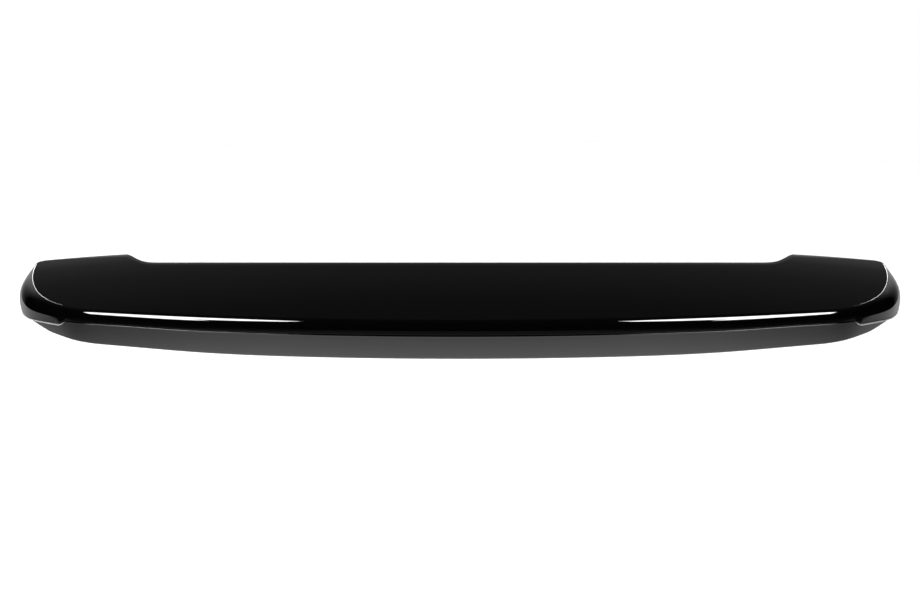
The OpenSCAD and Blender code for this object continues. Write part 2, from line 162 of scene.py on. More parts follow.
class SpoilerFixings(bpy.types.PropertyGroup):
    """Bosses, inserts and pins"""
    boss_diameter: length("Boss diameter", "Diameter of a boss", 0.02)
    boss_height: length("Boss height", "Height of a boss above its seat", 0.024)
    seat_diameter: length("Seat diameter", "Diameter of the flange at a boss's seat", 0.03)
    seat_thickness: length("Seat thickness", "Thickness of the flange at a boss's seat", 0.003)
    rib_thickness: length("Rib thickness", "Thickness of a boss's ribs", 0.002)
    rib_height: length("Rib height", "Height of a boss's ribs above its flange", 0.010)
    ribs: count("Ribs", "Ribs round a boss", 6)
    insert_diameter: length("Insert diameter", "Diameter of a threaded insert", 0.009)
    insert_length: length("Insert length", "Length of a threaded insert", 0.015)
    insert_bore: length("Insert bore", "Bore of a threaded insert", 0.005)
    insert_gap: length("Insert gap", "Gap between an insert and its boss", 0.00015)
    bore_lead: length("Bore lead-in", "Chamfer at the mouth of a bore", 0.0006)
    thread_pitch: length("Thread pitch", "Pitch of the insert's thread", 0.001)
    thread_depth: length("Thread depth", "Depth of the insert's thread", 0.00045)
    pin_diameter: length("Pin diameter", "Diameter of a locating pin", 0.008)
    pin_length: length("Pin length", "Length of a locating pin below its shoulder", 0.014)
    pin_aside: length("Pin place", "From the centre line to a locating pin", 0.310)
    pin_forward: length("Pin forward", "How far a pin stands in front of the inner fixings", 0.014)
    pin_shoulder: length("Pin shoulder", "Height of a pin's shoulder above the inner seats", 0.003)
    pin_foot_diameter: length("Pin foot diameter", "Diameter of a locating pin's foot", 0.014)
    pin_foot_height: length("Pin foot height", "Height of a pin's foot above its shoulder", 0.014)
    gasket_hole: length("Gasket hole", "Hole in a boss gasket", 0.012)
    gasket_thickness: length("Gasket thickness", "Thickness of a boss gasket", 0.003)
    edge_break: length("Edge break", "Radius on the edges of the fixings", 0.0005)
    flange_fillet: length("Flange fillet", "Radius between a boss and its flange", 0.0015)


class SpoilerSeals(bpy.types.PropertyGroup):
    """Tape and rear seal"""
    tape_thickness: length("Tape thickness", "Thickness of the tape with its liner", 0.0011)
    tape_margin: length("Tape margin", "Bare margin at each side of the tape", 0.004)
    tape_start: length("Ear tape start", "Where the ear's tape starts along the crease", 0.548)
    tape_end: length("Ear tape end", "Where the ear's tape ends along the crease", 0.690)
    tape_bulge: share("Tape bulge", "Share of its thickness by which the tape is round underneath", 0.1)
    seal_thickness: length("Seal thickness", "Thickness of the rear seal", 0.0025)
    seal_margin: length("Seal margin", "Bare margin at each side of the seal", 0.001)
    seal_bulge: share("Seal bulge", "Share of its thickness by which the seal is round underneath", 0.6)
    seal_end: length("Seal end", "Where the seal ends along the crease", 0.600)
    film: length("Film", "Adhesive film between a strip and its land", 0.0002)


class SpoilerFinish(bpy.types.PropertyGroup):
    """Colours and surface of the finishes"""
    lacquer: colour("Lacquer", "Black of the upper moulding", (0.0012, 0.0012, 0.0013))
    lacquer_roughness: share("Lacquer roughness", "Roughness of the polished lacquer", 0.022)
    peel_scale: number("Orange peel scale", "Waves per metre in the clear coat", 260.0)
    moulded: colour("Moulded black", "Black of the lower moulding", (0.0060, 0.0060, 0.0064))
    moulded_roughness: share("Moulded roughness", "Roughness of the polished rear face", 0.10)
    grain_roughness: share("Grain roughness", "Roughness of the grained underside", 0.55)
    # The pale bead's colour is a painted highlight, standing in for the bright reflection along the joint
    # under each ear's lip
    painted_highlight: colour("Highlight", "Pale bead in the joint under each ear's lip", (0.80, 0.80, 0.79))
    painted_highlight_roughness: share("Sealant roughness", "Roughness of the pale bead", 0.30)
    brass: colour("Brass", "Colour of the inserts", (0.62, 0.44, 0.17))
    foam: colour("Foam", "Colour of the gaskets", (0.020, 0.020, 0.021))
    rubber: colour("Rubber", "Colour of the rear seal", (0.012, 0.012, 0.012))
    tape: colour("Tape", "Colour of the tape's foam", (0.03, 0.03, 0.032))
    liner: colour("Liner", "Colour of the tape's liner", (0.55, 0.030, 0.022))


class SpoilerStudio(bpy.types.PropertyGroup):
    """Camera, floor and lamps"""
    distance: length("Camera distance", "From the camera to the middle of the spoiler", 3.5)
    elevation: angle("Camera elevation", "Height of the camera above level", 20)
    lens: number("Lens", "Focal length in millimetres", 100.44)
    target: bpy.props.FloatVectorProperty(
        name="Target", description="Point that the camera looks at",
        default=(0.0, 0.012, 0.0363), unit="LENGTH")
    floor_drop: length("Floor drop", "From the origin down to the floor", 0.6)
    floor_colour: colour("Floor", "Colour of the floor", (0.86, 0.86, 0.86))
    fill: number("Fill", "Strength of the even fill light", 0.5)
    key: number("Key", "Power of the soft lamp overhead, in watts", 120.0)
    softbox: number("Softbox", "Strength of the overhead softboxes in the gloss", 30.0)
    strip: number("Strip", "Strength of the upright strips in the gloss", 12.0)


class SpoilerSizes(bpy.types.PropertyGroup):
    """All sizes of the spoiler and its studio"""
    plan: group_of(SpoilerPlan, "Plan", "Outline seen from above")
    panel: group_of(SpoilerPanel, "Panel", "Top panel and walls")
    nose: group_of(SpoilerNose, "Bullnose", "Bullnose and lip")
    lower: group_of(SpoilerLower, "Lower moulding", "Rear face and underside")
    fixings: group_of(SpoilerFixings, "Fixings", "Bosses, inserts and pins")
    seals: group_of(SpoilerSeals, "Seals", "Tape and rear seal")
    finish: group_of(SpoilerFinish, "Finish", "Colours and surface")
    studio: group_of(SpoilerStudio, "Studio", "Camera, floor and lamps")


# Maths on node sockets


class Term:
    """A socket that takes part in sums, as a number or as a vector"""

    def __init__(self, bench, socket):
        self.bench = bench
        self.socket = socket

    def is_vector(self):
        return self.socket.type in {"VECTOR", "RGBA"}

    def _sum(self, operation, left, right):
        if any(wide(v) for v in (left, right)):
            return self.bench.node("ShaderNodeVectorMath", {"operation": operation}, (left, right))
        return self.bench.node("ShaderNodeMath", {"operation": operation}, (left, right))

    def __add__(self, other):
        return self._sum("ADD", self, other)

    def __radd__(self, other):
        return self._sum("ADD", other, self)

    def __sub__(self, other):
        return self._sum("SUBTRACT", self, other)

    def __rsub__(self, other):
        return self._sum("SUBTRACT", other, self)

    def __mul__(self, other):
        if wide(self) and not wide(other):
            return self.bench.scaled(self, other)
        if wide(other) and not wide(self):
            return self.bench.scaled(other, self)
        return self._sum("MULTIPLY", self, other)

    def __rmul__(self, other):
        return self * other

    def __truediv__(self, other):
        if wide(self) and not wide(other):
            return self.bench.scaled(self, 1 / other)
        return self._sum("DIVIDE", self, other)

    def __rtruediv__(self, other):
        return self._sum("DIVIDE", other, self)

    def __neg__(self):
        return self * -1.0

    def __pow__(self, power):
        return self.bench.maths("POWER", self, power)

    def dot(self, other):
        return self.bench.node("ShaderNodeVectorMath", {"operation": "DOT_PRODUCT"}, (self, other), "Value")

    def size(self):
        return self.bench.node("ShaderNodeVectorMath", {"operation": "LENGTH"}, (self,), "Value")

    def unit(self):
        return self.bench.node("ShaderNodeVectorMath", {"operation": "NORMALIZE"}, (self,))

    def part(self, axis):
        return self.bench.node("ShaderNodeSeparateXYZ", {}, (self,), axis)

    def sin(self):
        return self.bench.maths("SINE", self)

    def cos(self):
        return self.bench.maths("COSINE", self)

    def clamped(self):
        return self.bench.node("ShaderNodeClamp", {}, {"Value": self})

    def ramped(self, low, high, to_low=0.0, to_high=1.0):
        """This number taken from low..high to the second range, and held there"""
        return self.bench.node(
            "ShaderNodeMapRange", {"clamp": True},
            {"Value": self, "From Min": low, "From Max": high, "To Min": to_low, "To Max": to_high})


def wide(value):
    """True for a vector or colour, as a term or as plain numbers"""
    return value.is_vector() if isinstance(value, Term) else isinstance(value, (tuple, list, Vector))


class Bench:
    """A node tree under construction"""

    def __init__(self, tree):
        self.tree = tree

    def node(self, kind, settings=None, inputs=(), output=None):
        """Adds a node, with its settings set first, and gives one of its outputs"""
        made = self.tree.nodes.new(kind)
        for key, value in (settings or {}).items():
            setattr(made, key, value)
        for key, value in (inputs.items() if isinstance(inputs, dict) else enumerate(inputs)):
            if isinstance(value, Term):
                self.tree.links.new(value.socket, made.inputs[key])
            else:
                made.inputs[key].default_value = value
        if output is None:
            shown = [s for s in made.outputs if s.enabled]
            return Term(self, shown[0]) if shown else None
        return Term(self, made.outputs[output])

    def maths(self, operation, *values):
        return self.node("ShaderNodeMath", {"operation": operation}, values)

    def vector(self, x, y, z):
        return self.node("ShaderNodeCombineXYZ", {}, (x, y, z))

    def polar(self, radius, turn):
        """Section point at a radius and an angle, as (outward, up)"""
        return radius * self.maths("COSINE", turn), radius * self.maths("SINE", turn)

    def above(self, value, limit):
        return self.maths("GREATER_THAN", value, limit)

    def scaled(self, base, factor):
        """A vector or colour times a number"""
        return self.node("ShaderNodeVectorMath", {"operation": "SCALE"}, {0: base, "Scale": factor})

    def mixed(self, factor, first, second):
        """From one colour to another"""
        return self.node("ShaderNodeMix", {"data_type": "RGBA"}, {"Factor": factor, 6: first, 7: second}, 2)

    def graded(self, value, stops):
        """Grey by a ramp of (place, brightness) stops"""
        made = self.tree.nodes.new("ShaderNodeValToRGB")
        ramp = made.color_ramp
        while len(ramp.elements) < len(stops):
            ramp.elements.new(1.0)
        for element, (place, grey) in zip(ramp.elements, stops):
            element.position = place
            element.color = (grey, grey, grey, 1.0)
        self.tree.links.new(value.socket, made.inputs["Fac"])
        return Term(self, made.outputs["Color"])

    def marked(self, name):
        """What an attribute of the mesh says"""
        return self.node("ShaderNodeAttribute", {"attribute_name": name}, {}, "Fac")


# Plan and section of the spoiler


def blend(t):
    c = min(max(t, 0.0), 1.0)
    return c * c * (3 - 2 * c)


def mix(a, b, t):
    return a + (b - a) * t


def polar(radius, turn):
    return Vector((radius * math.cos(turn), radius * math.sin(turn)))


def arc_end(start, radius, a, b):
    return start + radius * Vector((math.sin(b) - math.sin(a), math.cos(a) - math.cos(b)))


def raised(p, z):
    return Vector((p.x, p.y, z))


SQUARE = math.radians(90)
GASKETS = ("gasket_inner_left", "gasket_inner_right", "gasket_outer_left", "gasket_outer_right")

# Along the crease: over what length a form changes, and how far from a joint of the plan it starts
SLIM_LENGTH = 0.140
SLIM_LEAD = 0.020
SWELL_LENGTH = 0.040
SWELL_LEAD = 0.015
FILL_LENGTH = 0.042
FADE_LENGTH = 0.065
STEP_LEAD = 0.038
FOOT_LEAD = 0.250
FOOT_FADE = 0.450
BEAD_LEAD = 0.065
BEAD_FADE = 0.080
MERGE_LEAD = 0.142
MERGE_FADE = 0.050
FAN_PLACE = 0.400
TIP_SOLID = 0.012
TIP_STOP = 0.013
CAD_TIP = math.radians(27)
PROBE = 0.00005

# In the section
LIP_FLAT = 0.0003
FACE_TIP = 0.0032
RAMP_RUN = 0.007
UPRIGHT_TURN = math.radians(30)
BEAD_TURN = math.radians(120)
INNER_FOOT = 1.35
INNER_START = 0.4

# Largest share of the room that a form takes where the ear runs out, and the least nested flange
ROLL_LIMIT = 0.6
FILLET_LIMIT = 0.9
FOOT_LIMIT = 0.3
LAND_LIMIT = 0.25
FRONT_LIMIT = 0.35
STEP_LIMIT = 0.25
RAMP_LIMIT = 0.2
SOFT_LIMIT = 0.1
LEAST_NEST = 0.0005

# Numbers of the section's points, from first to last
BEAD_POINTS = (2, 10)
STRIP_UNDERSIDE = (10, 32)
FIRST_GRAINED = 53

# Turned pieces and ribs
DOUBLES = 1e-6
POLE = 0.001
CRISP = 0.0001
PIN_CONE = 0.75
PIN_TIP = 0.55
RIB_OVERLAP = 0.001
RIB_TAPER = 0.75


class Outline:
    """Plan and section of the spoiler at lengths s along the crease, from the centre line"""

    def __init__(self, sizes):
        self.plan = sizes.plan
        self.panel = sizes.panel
        self.nose = sizes.nose
        self.lower = sizes.lower
        p = self.plan
        self.trail_end = arc_end(Vector((0, 0)), p.trail_radius, 0, p.trail_angle)
        self.corner_end = arc_end(self.trail_end, p.corner_radius, p.trail_angle, p.corner_angle)
        self.side_end = arc_end(self.corner_end, p.side_radius, p.corner_angle, SQUARE)
        self.tip_start = self.side_end + Vector((0, p.side_length))
        self.tip_centre = self.tip_start - Vector((p.tip_radius, 0))
        self.s_trail = p.trail_radius * p.trail_angle
        self.s_corner = self.s_trail + p.corner_radius * (p.corner_angle - p.trail_angle)
        self.s_side = self.s_corner + p.side_radius * (SQUARE - p.corner_angle)
        self.s_straight = self.s_side + p.side_length
        self.s_last = self.s_straight + p.tip_radius * p.tip_angle
        self.s_end = self.s_straight + p.tip_radius * CAD_TIP
        self.s_fan = p.trail_radius * math.asin(FAN_PLACE / p.trail_radius)
        self.w_end = self.tip_centre.x + p.tip_radius * CAD_TIP

    def heading(self, s):
        p = self.plan
        if s < self.s_trail:
            return s / p.trail_radius
        if s < self.s_corner:
            return p.trail_angle + (s - self.s_trail) / p.corner_radius
        if s < self.s_side:
            return p.corner_angle + (s - self.s_corner) / p.side_radius
        return SQUARE + max(s - self.s_straight, 0) / p.tip_radius

    def crease(self, s):
        p = self.plan
        turn = self.heading(s)
        if s < self.s_trail:
            return arc_end(Vector((0, 0)), p.trail_radius, 0, turn)
        if s < self.s_corner:
            return arc_end(self.trail_end, p.corner_radius, p.trail_angle, turn)
        if s < self.s_side:
            return arc_end(self.corner_end, p.side_radius, p.corner_angle, turn)
        if s < self.s_straight:
            return self.side_end + Vector((0, s - self.s_side))
        return arc_end(self.tip_start, p.tip_radius, SQUARE, turn)

    def outward(self, s):
        return Vector((math.sin(self.heading(s)), -math.cos(self.heading(s))))

    def front(self, w):
        """Point of the front edge at a length w from the centre line"""
        p = self.plan
        if w > self.tip_centre.x:
            turn = (w - self.tip_centre.x) / p.tip_radius
            return self.tip_centre + p.tip_radius * Vector((math.sin(turn), math.cos(turn)))
        middle = p.middle_depth + w * w / (2 * p.front_radius)
        reach = max(w - p.flank_head, 0) / (self.tip_centre.x - p.flank_head)
        ear = self.tip_centre.y + p.tip_radius + p.ear_rise * (1 - reach ** 2)
        flank = blend((max(w - p.flank_foot, 0) / (p.flank_head - p.flank_foot)) ** p.flank_skew)
        return Vector((w, mix(middle, ear, flank)))

    def ahead(self, w):
        """Direction square to the front edge, out of the panel"""
        d = self.front(w + PROBE) - self.front(w - PROBE)
        return Vector((-d.y, d.x)).normalized()

    def front_at(self, s):
        """Where along the front edge the section at s ends; round the ears the sections fan out"""
        if s < self.s_fan:
            return self.crease(s).x
        if s <= self.s_end:
            return mix(FAN_PLACE, self.w_end, (s - self.s_fan) / (self.s_end - self.s_fan))
        return self.w_end + (s - self.s_end)

    def panel_z(self, p):
        panel = self.panel
        return (math.tan(panel.fall) * p.y - p.y * p.y / (2 * panel.camber_radius)
                - p.x * p.x / (2 * panel.crown_radius))

    def outside_step(self, s):
        """0 along the middle and 1 outside the step in the lower edge"""
        return blend((self.crease(s).x - self.nose.step_place) / self.nose.step_width + 0.5)

    def nose_inside(self, s):
        n = self.nose
        past = s - self.s_trail
        slim = mix(n.middle_radius, n.slim_radius, blend((past + SLIM_LENGTH + SLIM_LEAD) / SLIM_LENGTH))
        return mix(slim, n.swell_radius, blend((past - SWELL_LEAD) / SWELL_LENGTH))

    def nose_radius(self, s):
        n = self.nose
        flank = mix(n.step_radius, n.side_radius,
                    blend((s - self.s_trail - FILL_LENGTH) / (self.s_corner - self.s_trail)))
        full = mix(self.nose_inside(s), flank, self.outside_step(s))
        return mix(full, n.tip_radius, blend((s - self.s_end + FADE_LENGTH) / FADE_LENGTH))

    def flank_share(self, s):
        share_of = blend((s - self.s_trail - FILL_LENGTH) / (self.s_corner - self.s_trail))
        return share_of * blend((self.s_end - s) / FADE_LENGTH)

    def under(self, s):
        n = self.nose
        side = mix(n.under_side, n.under_flank, self.flank_share(s))
        return mix(n.under_middle, side, self.outside_step(s))

    def upright(self, s):
        """Height that the ear's side keeps upright, so that a fuller side reaches as low"""
        n = self.nose
        full = math.sin(n.under_side) - math.sin(mix(n.under_side, n.under_flank, self.flank_share(s)))
        return (self.nose_radius(s) - self.roll_radius(s)) * full * self.outside_step(s)

    def roll_radius(self, s):
        wanted = mix(self.nose.roll_middle, self.nose.roll_side, self.outside_step(s))
        return min(wanted, ROLL_LIMIT * self.nose_radius(s), self.panel.wall - LIP_FLAT)

    def lip(self, s):
        """Centre of the rolled lip in the section"""
        centre = self.lip_of(self.nose_radius(s), self.under(s), self.roll_radius(s))
        return centre - Vector((0, self.upright(s)))

    def lip_of(self, radius, under, roll):
        return polar(radius - roll, -under) - polar(radius, self.nose.start_angle)

    def lip_low(self, s):
        return self.lip(s).y - self.roll_radius(s)

    def lip_in(self, s):
        return self.lip(s).x + self.roll_radius(s) - self.panel.wall

    def roof_drop(self, s):
        return self.panel.wall if s < self.s_end - TIP_SOLID else self.panel.rim_depth - self.panel.bond_gap

    def fillet_radius(self, s):
        centre = -polar(self.nose_radius(s), self.nose.start_angle)
        return min(self.lip_in(s) - centre.x, FILLET_LIMIT * (-self.lip_low(s) - self.roof_drop(s)))

    def bead_radius(self, s):
        """Half the thickness of the bead on which the lip sits"""
        return mix(self.lower.bead_middle, self.lower.bead_side, self.outside_step(s)) / 2

    def face_start(self, lip, roll, bead):
        return lip + Vector((roll, -roll - self.panel.bond_gap - bead * 2))

    def face_top(self, s):
        """Head of the rear face; behind the lip's step it stays smooth and is hidden by the lip"""
        n, low = self.nose, self.lower
        lip_inside = self.lip_of(self.nose_inside(s), n.under_middle, n.roll_middle)
        inner = self.face_start(lip_inside, n.roll_middle, low.bead_middle / 2)
        reach = self.reach(s) - low.bead_proud
        outer = self.face_start(self.lip(s), self.roll_radius(s), low.bead_side / 2)
        outer += Vector((reach, -reach * math.tan(low.bead_fall)))
        fade = blend((s - self.s_trail - STEP_LEAD) / low.step_fade)
        return mix(inner, outer, fade)

    def reach(self, s):
        """How far the bead stands out past the lip"""
        low = self.lower
        fade = blend((s - self.s_corner + BEAD_LEAD) / BEAD_FADE)
        return mix(low.bead_proud, mix(low.bead_reach, low.bead_proud, fade), self.outside_step(s))

    def bead(self, s):
        """Centre of the bead in the section"""
        radius = self.bead_radius(s)
        roll = self.roll_radius(s)
        reach = self.reach(s)
        fall = (reach - self.lower.bead_proud) * math.tan(self.lower.bead_fall)
        down = roll + self.panel.bond_gap + radius + fall
        return self.lip(s) + Vector((roll + reach - radius, -down))

    def bead_low(self, s):
        return self.bead(s).y - self.bead_radius(s)

    def face_share(self, s):
        """Share of the rear face that the bead hides"""
        return max(0.0, (self.face_top(s).y - self.bead_low(s)) / self.face_drop(s))

    def foot_depth(self, s):
        """Height of the foot's sharp corner against the crease"""
        low = self.lower
        middle = self.face_top(0).y - low.face_height
        depth = mix(middle, -low.corner_depth, blend((s - self.s_trail + FOOT_LEAD) / FOOT_FADE))
        return mix(depth, self.bead_low(s) - FACE_TIP, blend((s - self.s_end + MERGE_LEAD) / MERGE_FADE))

    def face_drop(self, s):
        return self.face_top(s).y - self.foot_depth(s)

    def face_length(self, s):
        return self.face_drop(s) / math.cos(self.lower.face_lean)

    def face_foot(self, s):
        lean = self.lower.face_lean
        return self.face_top(s) - self.face_length(s) * Vector((math.sin(lean), math.cos(lean)))

    def face_at(self, s, t):
        lean = self.lower.face_lean
        length = self.face_length(s)
        bow = length ** 2 / (8 * self.lower.bow_radius)
        straight = mix(self.face_top(s), self.face_foot(s), t)
        return straight + 4 * bow * t * (1 - t) * Vector((math.cos(lean), -math.sin(lean)))

    def ledge(self, s):
        """Inside of the wall under the nested flange"""
        wall = self.panel.wall
        inner = self.nest_foot(s) - Vector((wall, 0))
        start = self.face_at(s, self.face_share(s))
        deep = min(wall, (inner.y - self.foot_depth(s) - wall) / 2)
        return Vector((min(inner.x, start.x - wall / math.cos(self.lower.face_lean)), inner.y - deep))

    def nest_foot(self, s):
        gap = self.panel.bond_gap
        return Vector((self.lip_in(s) - gap, self.lip_low(s) - gap))

    def land_direction(self, s):
        rise = self.lower.land_rise * math.cos(self.heading(s))
        return Vector((-math.cos(rise), math.sin(rise)))

    def foot_radius(self, s):
        return min(self.lower.foot_radius, FOOT_LIMIT * self.face_drop(s))

    def foot_cut(self, s):
        """Distance from the foot's sharp corner at which its radius starts"""
        lean = self.lower.face_lean + math.asin(self.face_length(s) / (2 * self.lower.bow_radius))
        down = -Vector((math.sin(lean), math.cos(lean)))
        turn = math.acos(max(-1.0, min(1.0, down.dot(self.land_direction(s)))))
        return self.foot_radius(s) * math.tan(turn / 2)

    def nest(self, s):
        """Height of the flange that is nested in the lip"""
        room = -self.roof_drop(s) - self.fillet_radius(s) - self.lip_low(s) - self.panel.bond_gap
        return min(self.lower.nest_height, max(room, LEAST_NEST))

    def at(self, s, q):
        """Place of a section point in the model"""
        return raised(self.crease(s) + self.outward(s) * q.x, self.panel_z(self.crease(s)) + q.y)

    def under_panel(self, p, drop):
        return raised(p, self.panel_z(p) - drop)

    def land_end(self, s):
        w = self.front_at(s)
        run = (self.front(w) - self.crease(s)).length - 2 * self.panel.wall
        wide_land = min(self.lower.land_width, LAND_LIMIT * run)
        return self.at(s, self.face_foot(s) + wide_land * self.land_direction(s))

    def nest_front(self, s):
        w = self.front_at(s)
        return self.front(w) - (self.panel.wall + self.panel.bond_gap) * self.ahead(w)

    def front_land(self, s):
        start = self.land_end(s).xy
        end = self.nest_front(s)
        run = (end - start).length
        return mix(end, start, min(self.lower.front_land, FRONT_LIMIT * run) / run)

    def floor_foot(self, s):
        start = self.land_end(s)
        end = self.front_land(s)
        run = (end - start.xy).length
        room = self.panel_z(end) - self.panel.rim_depth - start.z
        step = min(self.lower.floor_step, STEP_LIMIT * room)
        return raised(mix(start.xy, end, min(RAMP_RUN, RAMP_LIMIT * run) / run), start.z + step)

    def half(self, start, stop):
        """Lengths from the centre line out, wide apart along the middle and close round the ears"""
        p = self.plan
        middle = [self.s_fan * i / p.middle_stations for i in range(p.middle_stations)]
        ear = [mix(self.s_fan, self.s_last, i / p.ear_stations) for i in range(p.ear_stations + 1)]
        inner = [s for s in middle + ear if start < s < stop]
        return [start, *inner, stop]


def both_sides(half):
    return [-s for s in reversed(half[1:])] + list(half)


def stations(name, lengths, facts):
    """A mesh of one point for each section, which holds what the section's rule needs as attributes"""
    rows = [facts(abs(s)) for s in lengths]
    data = bpy.data.meshes.new(name)
    data.from_pydata([(s, 0.0, 0.0) for s in lengths], [], [])
    for key, first in rows[0].items():
        if isinstance(first, Vector):
            values = data.attributes.new(key, "FLOAT_VECTOR", "POINT")
            for i, (s, row) in enumerate(zip(lengths, rows)):
                v = row[key]
                values.data[i].vector = (v.x if s >= 0 else -v.x, v.y, v.z if len(v) == 3 else 0.0)
        else:
            values = data.attributes.new(key, "FLOAT", "POINT")
            for i, row in enumerate(rows):
                values.data[i].value = row[key]
    return bpy.data.objects.new(name, data)


# Geometry Nodes


class SectionTree(Bench):
    """A tree that sweeps a closed section along the stations, by one rule for each part of the section"""

    def __init__(self, name, stations_count, sizes):
        tree = bpy.data.node_groups.new(name, "GeometryNodeTree")
        super().__init__(tree)
        tree.is_modifier = True
        tree.interface.new_socket("Stations", in_out="INPUT", socket_type="NodeSocketGeometry")
        self.values = sizes
        for key in sizes:
            socket = tree.interface.new_socket(key, in_out="INPUT", socket_type="NodeSocketFloat")
            socket.subtype = "ANGLE" if "angle" in key.lower() or key == "Fall" else "DISTANCE"
            socket.default_value = sizes[key]
        tree.interface.new_socket("Piece", in_out="OUTPUT", socket_type="NodeSocketGeometry")
        self.entry = tree.nodes.new("NodeGroupInput")
        self.sections = stations_count
        self.parts = []
        self.points = 0
        self.cache = {}

    def size_of(self, name):
        return Term(self, self.entry.outputs[name])

    def at_least(self, value, limit):
        return self.node(
            "FunctionNodeCompare", {"data_type": "FLOAT", "operation": "GREATER_EQUAL"},
            {"A": value, "B": limit})

    def pick(self, test, no, yes):
        return self.node(
            "GeometryNodeSwitch", {"input_type": "VECTOR"}, {"Switch": test, "False": no, "True": yes})

    def between(self, first, last):
        """1 on the section's points from first to last, and 0 elsewhere"""
        return self.at_least(self.place, first - 0.5) * 1.0 - self.at_least(self.place, last + 0.5)

    def moved(self, shape, spot):
        return self.node("GeometryNodeSetPosition", {}, {"Geometry": shape, "Position": spot}, "Geometry")

    def offset(self, shape, way):
        return self.node("GeometryNodeSetPosition", {}, {"Geometry": shape, "Offset": way}, "Geometry")

    def begin(self, points):
        """Makes the blank tube, and the number of each point's section and of its place in it"""
        self.points = points
        self.blank = self.node(
            "GeometryNodeMeshCylinder", {"fill_type": "NGON"},
            {"Vertices": points, "Side Segments": self.sections - 1, "Radius": 1.0, "Depth": 1.0}, "Mesh")
        index = self.node("GeometryNodeInputIndex")
        self.section = self.maths("FLOOR", (index + 0.5) / float(points))
        self.place = index - self.section * float(points)

    def fact(self, name, kind="FLOAT_VECTOR"):
        """A station's attribute, at each point of its section"""
        if name not in self.cache:
            value = self.node(
                "GeometryNodeInputNamedAttribute", {"data_type": kind}, {"Name": name}, "Attribute")
            self.cache[name] = self.node(
                "GeometryNodeSampleIndex", {"data_type": kind, "domain": "POINT"},
                {"Geometry": self.size_of("Stations"), "Value": value, "Index": self.section})
        return self.cache[name]

    def number(self, name):
        return self.fact(name, "FLOAT")

    def run(self, points, rule):
        """Adds a part of the section: a rule that gives its place at t from 0 to 1"""
        self.parts.append((points, rule))

    def line(self, points, a, b):
        self.run(points, lambda t: a + (b - a) * t)

    def corner(self, points, before, at, after, cut):
        """A round corner, whose radius starts at a distance cut from the sharp one"""
        d_in = (at - before).unit()
        d_out = (after - at).unit()
        weight = self.maths("SQRT", (d_in.dot(d_out) + 1.0) * 0.5)
        start = at - d_in * cut
        end = at + d_out * cut

        def rule(t):
            u = 1.0 - t
            a, b, c = u * u, weight * t * u * 2.0, t * t
            return (start * a + at * b + end * c) / (a + b + c)
        self.run(points, rule)
        return start, end

    def build(self):
        """Puts every point in its place by the part of the section that it belongs to"""
        start = 0
        spot = None
        for points, rule in self.parts:
            t = ((self.place - float(start)) / float(points)).clamped()
            here = rule(t)
            spot = here if spot is None else self.pick(self.at_least(self.place, start - 0.5), spot, here)
            start += points
        return self.set_place(spot)

    def set_place(self, spot):
        return self.moved(self.blank, spot)

    def close(self, shape, material, sharp_angle=32.0, turned=True):
        """Ends the tree: sharp edges kept, faces outwards, instances realised and the material set"""
        if turned:
            shape = self.node("GeometryNodeFlipFaces", {}, {"Mesh": shape}, "Mesh")
        bend = self.node("GeometryNodeInputMeshEdgeAngle", {}, {}, "Unsigned Angle")
        sharp = self.at_least(bend, math.radians(sharp_angle))
        shape = self.node("GeometryNodeSetShadeSmooth", {"domain": "FACE"},
                          {"Geometry": shape, "Shade Smooth": True}, "Geometry")
        shape = self.node("GeometryNodeSetShadeSmooth", {"domain": "EDGE"},
                          {"Geometry": shape, "Selection": sharp, "Shade Smooth": False}, "Geometry")
        shape = self.node("GeometryNodeRealizeInstances", {}, {"Geometry": shape}, "Geometry")
        shape = self.node(
            "GeometryNodeSetMaterial", {}, {"Geometry": shape, "Material": material}, "Geometry")
        last = self.tree.nodes.new("NodeGroupOutput")
        self.tree.links.new(shape.socket, last.inputs[0])

    def rounded(self, spots, cuts, corner_points=4, line_points=2):
        """Adds a closed run through spots, each with its own round corner"""
        for i, at in enumerate(spots):
            before = spots[i - 1]
            after = spots[(i + 1) % len(spots)]
            next_cut = cuts[(i + 1) % len(spots)]
            _, end = self.corner(corner_points, before, at, after, cuts[i])
            self.line(line_points, end, after - (after - at).unit() * next_cut)

    def stored(self, shape, name, value):
        return self.node("GeometryNodeStoreNamedAttribute", {"data_type": "FLOAT", "domain": "POINT"},
                         {"Geometry": shape, "Name": name, "Value": value}, "Geometry")


class TurnedTree(SectionTree):
    """A tree that turns a profile round an upright axis, and sets a copy at each station"""

    def begin(self, points, around, capped=False):
        self.points = points
        self.blank = self.node(
            "GeometryNodeMeshCylinder", {"fill_type": "NGON" if capped else "NONE"},
            {"Vertices": around, "Side Segments": points, "Radius": 1.0, "Depth": 1.0}, "Mesh")
        index = self.node("GeometryNodeInputIndex")
        self.place = self.maths("FLOOR", (index + 0.5) / float(around))
        self.turn = (index / float(around) - self.place) * math.tau

    def spot(self, radius, height):
        return self.vector(radius, 0.0, height)

    def set_place(self, spot):
        x, z = spot.part("X"), spot.part("Z")
        place = self.vector(x * self.turn.cos(), x * self.turn.sin(), z)
        return self.node(
            "GeometryNodeMergeByDistance", {},
            {"Geometry": self.moved(self.blank, place), "Distance": DOUBLES}, "Geometry")

    def at_stations(self, shape):
        return self.node(
            "GeometryNodeInstanceOnPoints", {},
            {"Points": self.size_of("Stations"), "Instance": shape}, "Instances")

    def joined(self, *shapes):
        join = self.tree.nodes.new("GeometryNodeJoinGeometry")
        for shape in shapes:
            self.tree.links.new(shape.socket, join.inputs[0])
        return Term(self, join.outputs[0])


